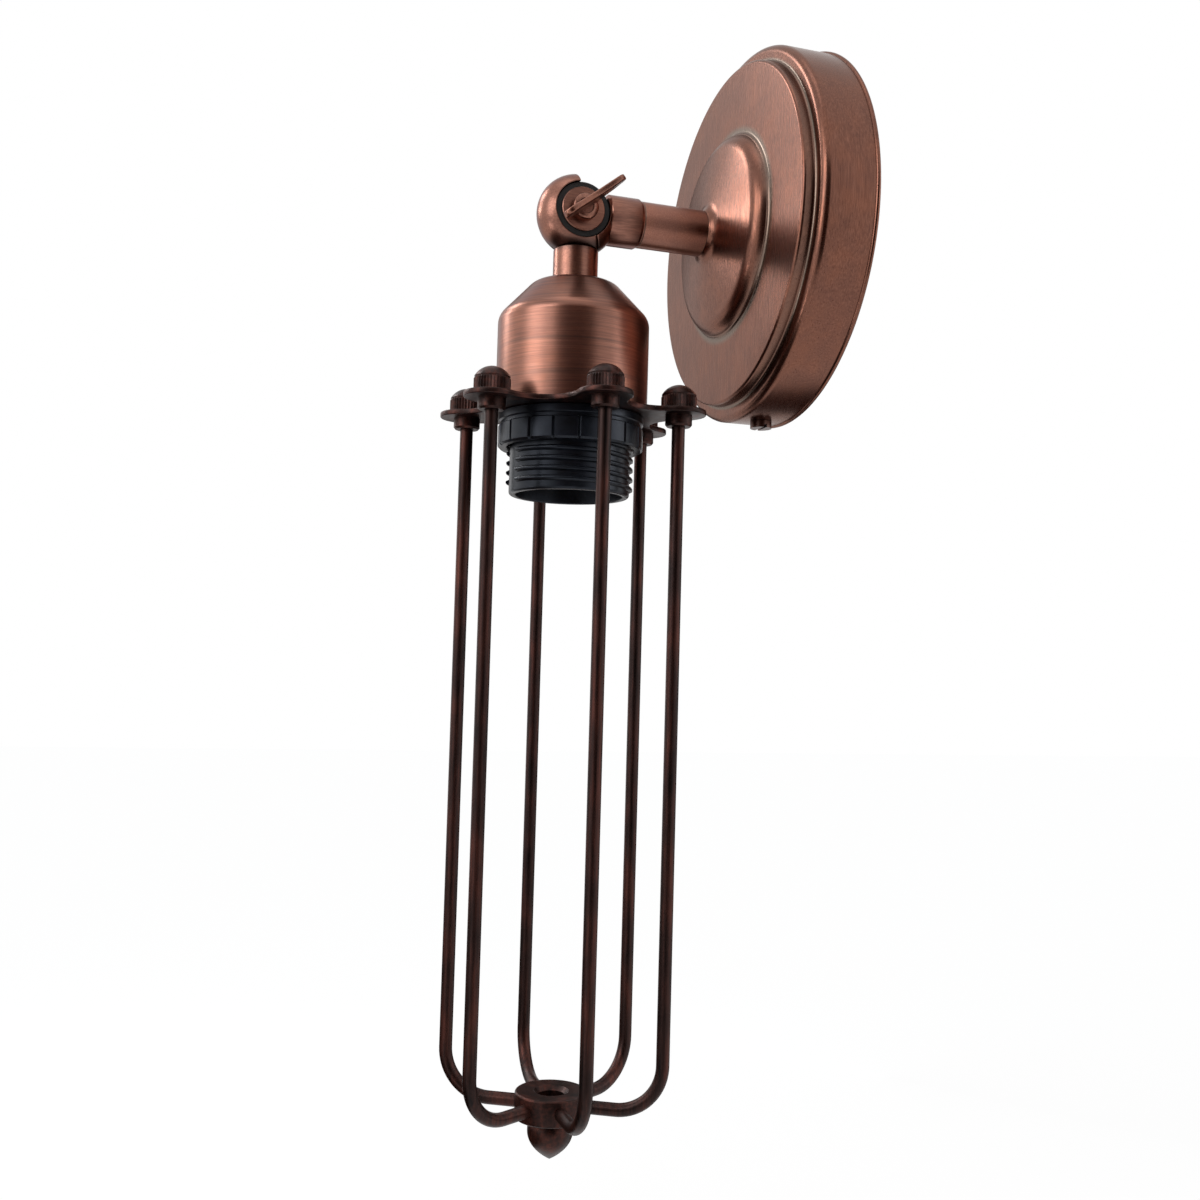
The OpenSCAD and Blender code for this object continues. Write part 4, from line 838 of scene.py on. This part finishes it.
# Moulded phenolic: a cool glossy black, with faint flow marks and a little dust in its gloss.
phenolic, tree = empty_material("black_phenolic_moulding")
flow = grain(tree, (6, 6, 3), 3.0)
black = add(tree, "ShaderNodeValToRGB", {"Fac": flow}, stops=[(0.3, "#0d0f12"), (0.7, "#1a1d24")])
dust = add(tree, "ShaderNodeMapRange", {"Value": grain(tree, (0.8, 0.8, 0.8)), "To Min": 0.24,
           "To Max": 0.38})
flow_marks = add(tree, "ShaderNodeBump", {"Height": flow, "Distance": 0.02 * MM})
moulded = add(tree, "ShaderNodeBsdfPrincipled", {
    "Base Color": black.outputs["Color"], "Specular Tint": linear("#b2bacb"),
    "Roughness": dust.outputs["Result"], "Normal": flow_marks.outputs["Normal"]})
add(tree, "ShaderNodeOutputMaterial", {"Surface": moulded.outputs[0]})
refinish(phenolic, "holder_cap")

skirt_outline = (
    [(MOUTH_R, SKIRT_TOP), (crest_r, SKIRT_TOP), (crest_r, PLUG_FOOT), (core_r, PLUG_FOOT)]
    + [(core_r, SKIRT_FOOT + FOOT_ROUND)]
    + arc((core_r - FOOT_ROUND, SKIRT_FOOT + FOOT_ROUND), FOOT_ROUND, 0, -90, 8)
    + arc((MOUTH_R + MOUTH_ROUND, SKIRT_FOOT + MOUTH_ROUND), MOUTH_ROUND, 270, 180, 4))
# Upper half of a crest, as radii and heights over its middle; it is rooted in the skirt's wall
half_crest = [(core_r - 0.3, 0.95), (core_r, 0.85), (crest_r - 0.12, 0.4), (crest_r, 0.2)]
whole_crest = half_crest + [(r, -h) for r, h in reversed(half_crest)]
threads = []
for side in (0, 1):
    for turn in range(TURNS):
        middle = PLATE_UNDER - THREAD_START - PITCH * (turn + side / 2)
        if middle - PITCH / 2 - 1 < SKIRT_FOOT + THREAD_CLEAR:
            continue
        thread = bmesh.new()
        begin = Matrix.Rotation(radians(THREAD_FROM + 180 * side), 4, "Z") @ Vector((1, 0, 0))
        points = [thread.verts.new(PIVOT + (begin * r + Vector((0, 0, middle + h))) * MM)
                  for r, h in whole_crest]
        lines = [thread.edges.new(pair) for pair in zip(points, points[1:] + points[:1])]
        fall = -PITCH * THREAD_ARC / 360 / THREAD_STEPS
        bmesh.ops.spin(thread, geom=points + lines, cent=PIVOT, axis=(0, 0, 1),
                       angle=radians(THREAD_ARC), steps=THREAD_STEPS, dvec=Vector((0, 0, fall)) * MM)
        bmesh.ops.holes_fill(thread, edges=[e for e in thread.edges if e.is_boundary])
        bmesh.ops.recalc_face_normals(thread, faces=thread.faces)
        threads.append(thread)
piece("threaded_skirt", joined(turned(skirt_outline, DOWN_HEAD, 128), *threads), phenolic, "lamp_head",
      "black_moulding", "holder_skirt")


# ---- Shade ring -------------------------------------------------------------------------------
# A moulded phenolic ring screwed up against the cage's plate: a flange, a groove and a body with
# upright grip lines.
RING_R, RING_FOOT, RING_GAP, FLANGE, GROOVE, GROOVE_IN = 22.4, -74.0, 0.05, 2.6, 1.1, 0.5
RING_EDGE, RING_BEVEL, GRIPS, GRIP_STEPS, GRIP_DEPTH = 0.3, 0.6, 18, 16, 0.5
ring_bore = crest_r + RING_GAP
groove_top, groove_foot = PLATE_UNDER - FLANGE, PLATE_UNDER - FLANGE - GROOVE
ring_outline = [
    (ring_bore, PLATE_UNDER), (RING_R - RING_EDGE, PLATE_UNDER), (RING_R, PLATE_UNDER - RING_EDGE),
    (RING_R, groove_top + RING_EDGE), (RING_R - RING_EDGE, groove_top),
    (RING_R - GROOVE_IN, groove_top - 0.1), (RING_R - GROOVE_IN, groove_foot + 0.1),
    (RING_R - RING_EDGE, groove_foot), (RING_R, groove_foot - RING_EDGE),
    (RING_R, RING_FOOT + RING_BEVEL), (RING_R - RING_BEVEL, RING_FOOT),
    (ring_bore + RING_EDGE, RING_FOOT), (ring_bore, RING_FOOT + RING_EDGE)]
shade = turned(ring_outline, DOWN_HEAD, GRIPS * GRIP_STEPS)
for v in shade.verts:
    out = v.co - PIVOT
    height = out.z / MM
    out.z = 0
    if out.length > (RING_R - 0.7) * MM and height < groove_foot + 0.05:
        place = (atan2(out.y, out.x) / (2 * pi / GRIPS)) % 1 - 0.5
        v.co -= out.normalized() * GRIP_DEPTH * max(0, 1 - (place * GRIP_STEPS) ** 2) * MM
piece("ring", shade, phenolic, "shade_ring", "black_moulding", "shade_ring", crease=24)
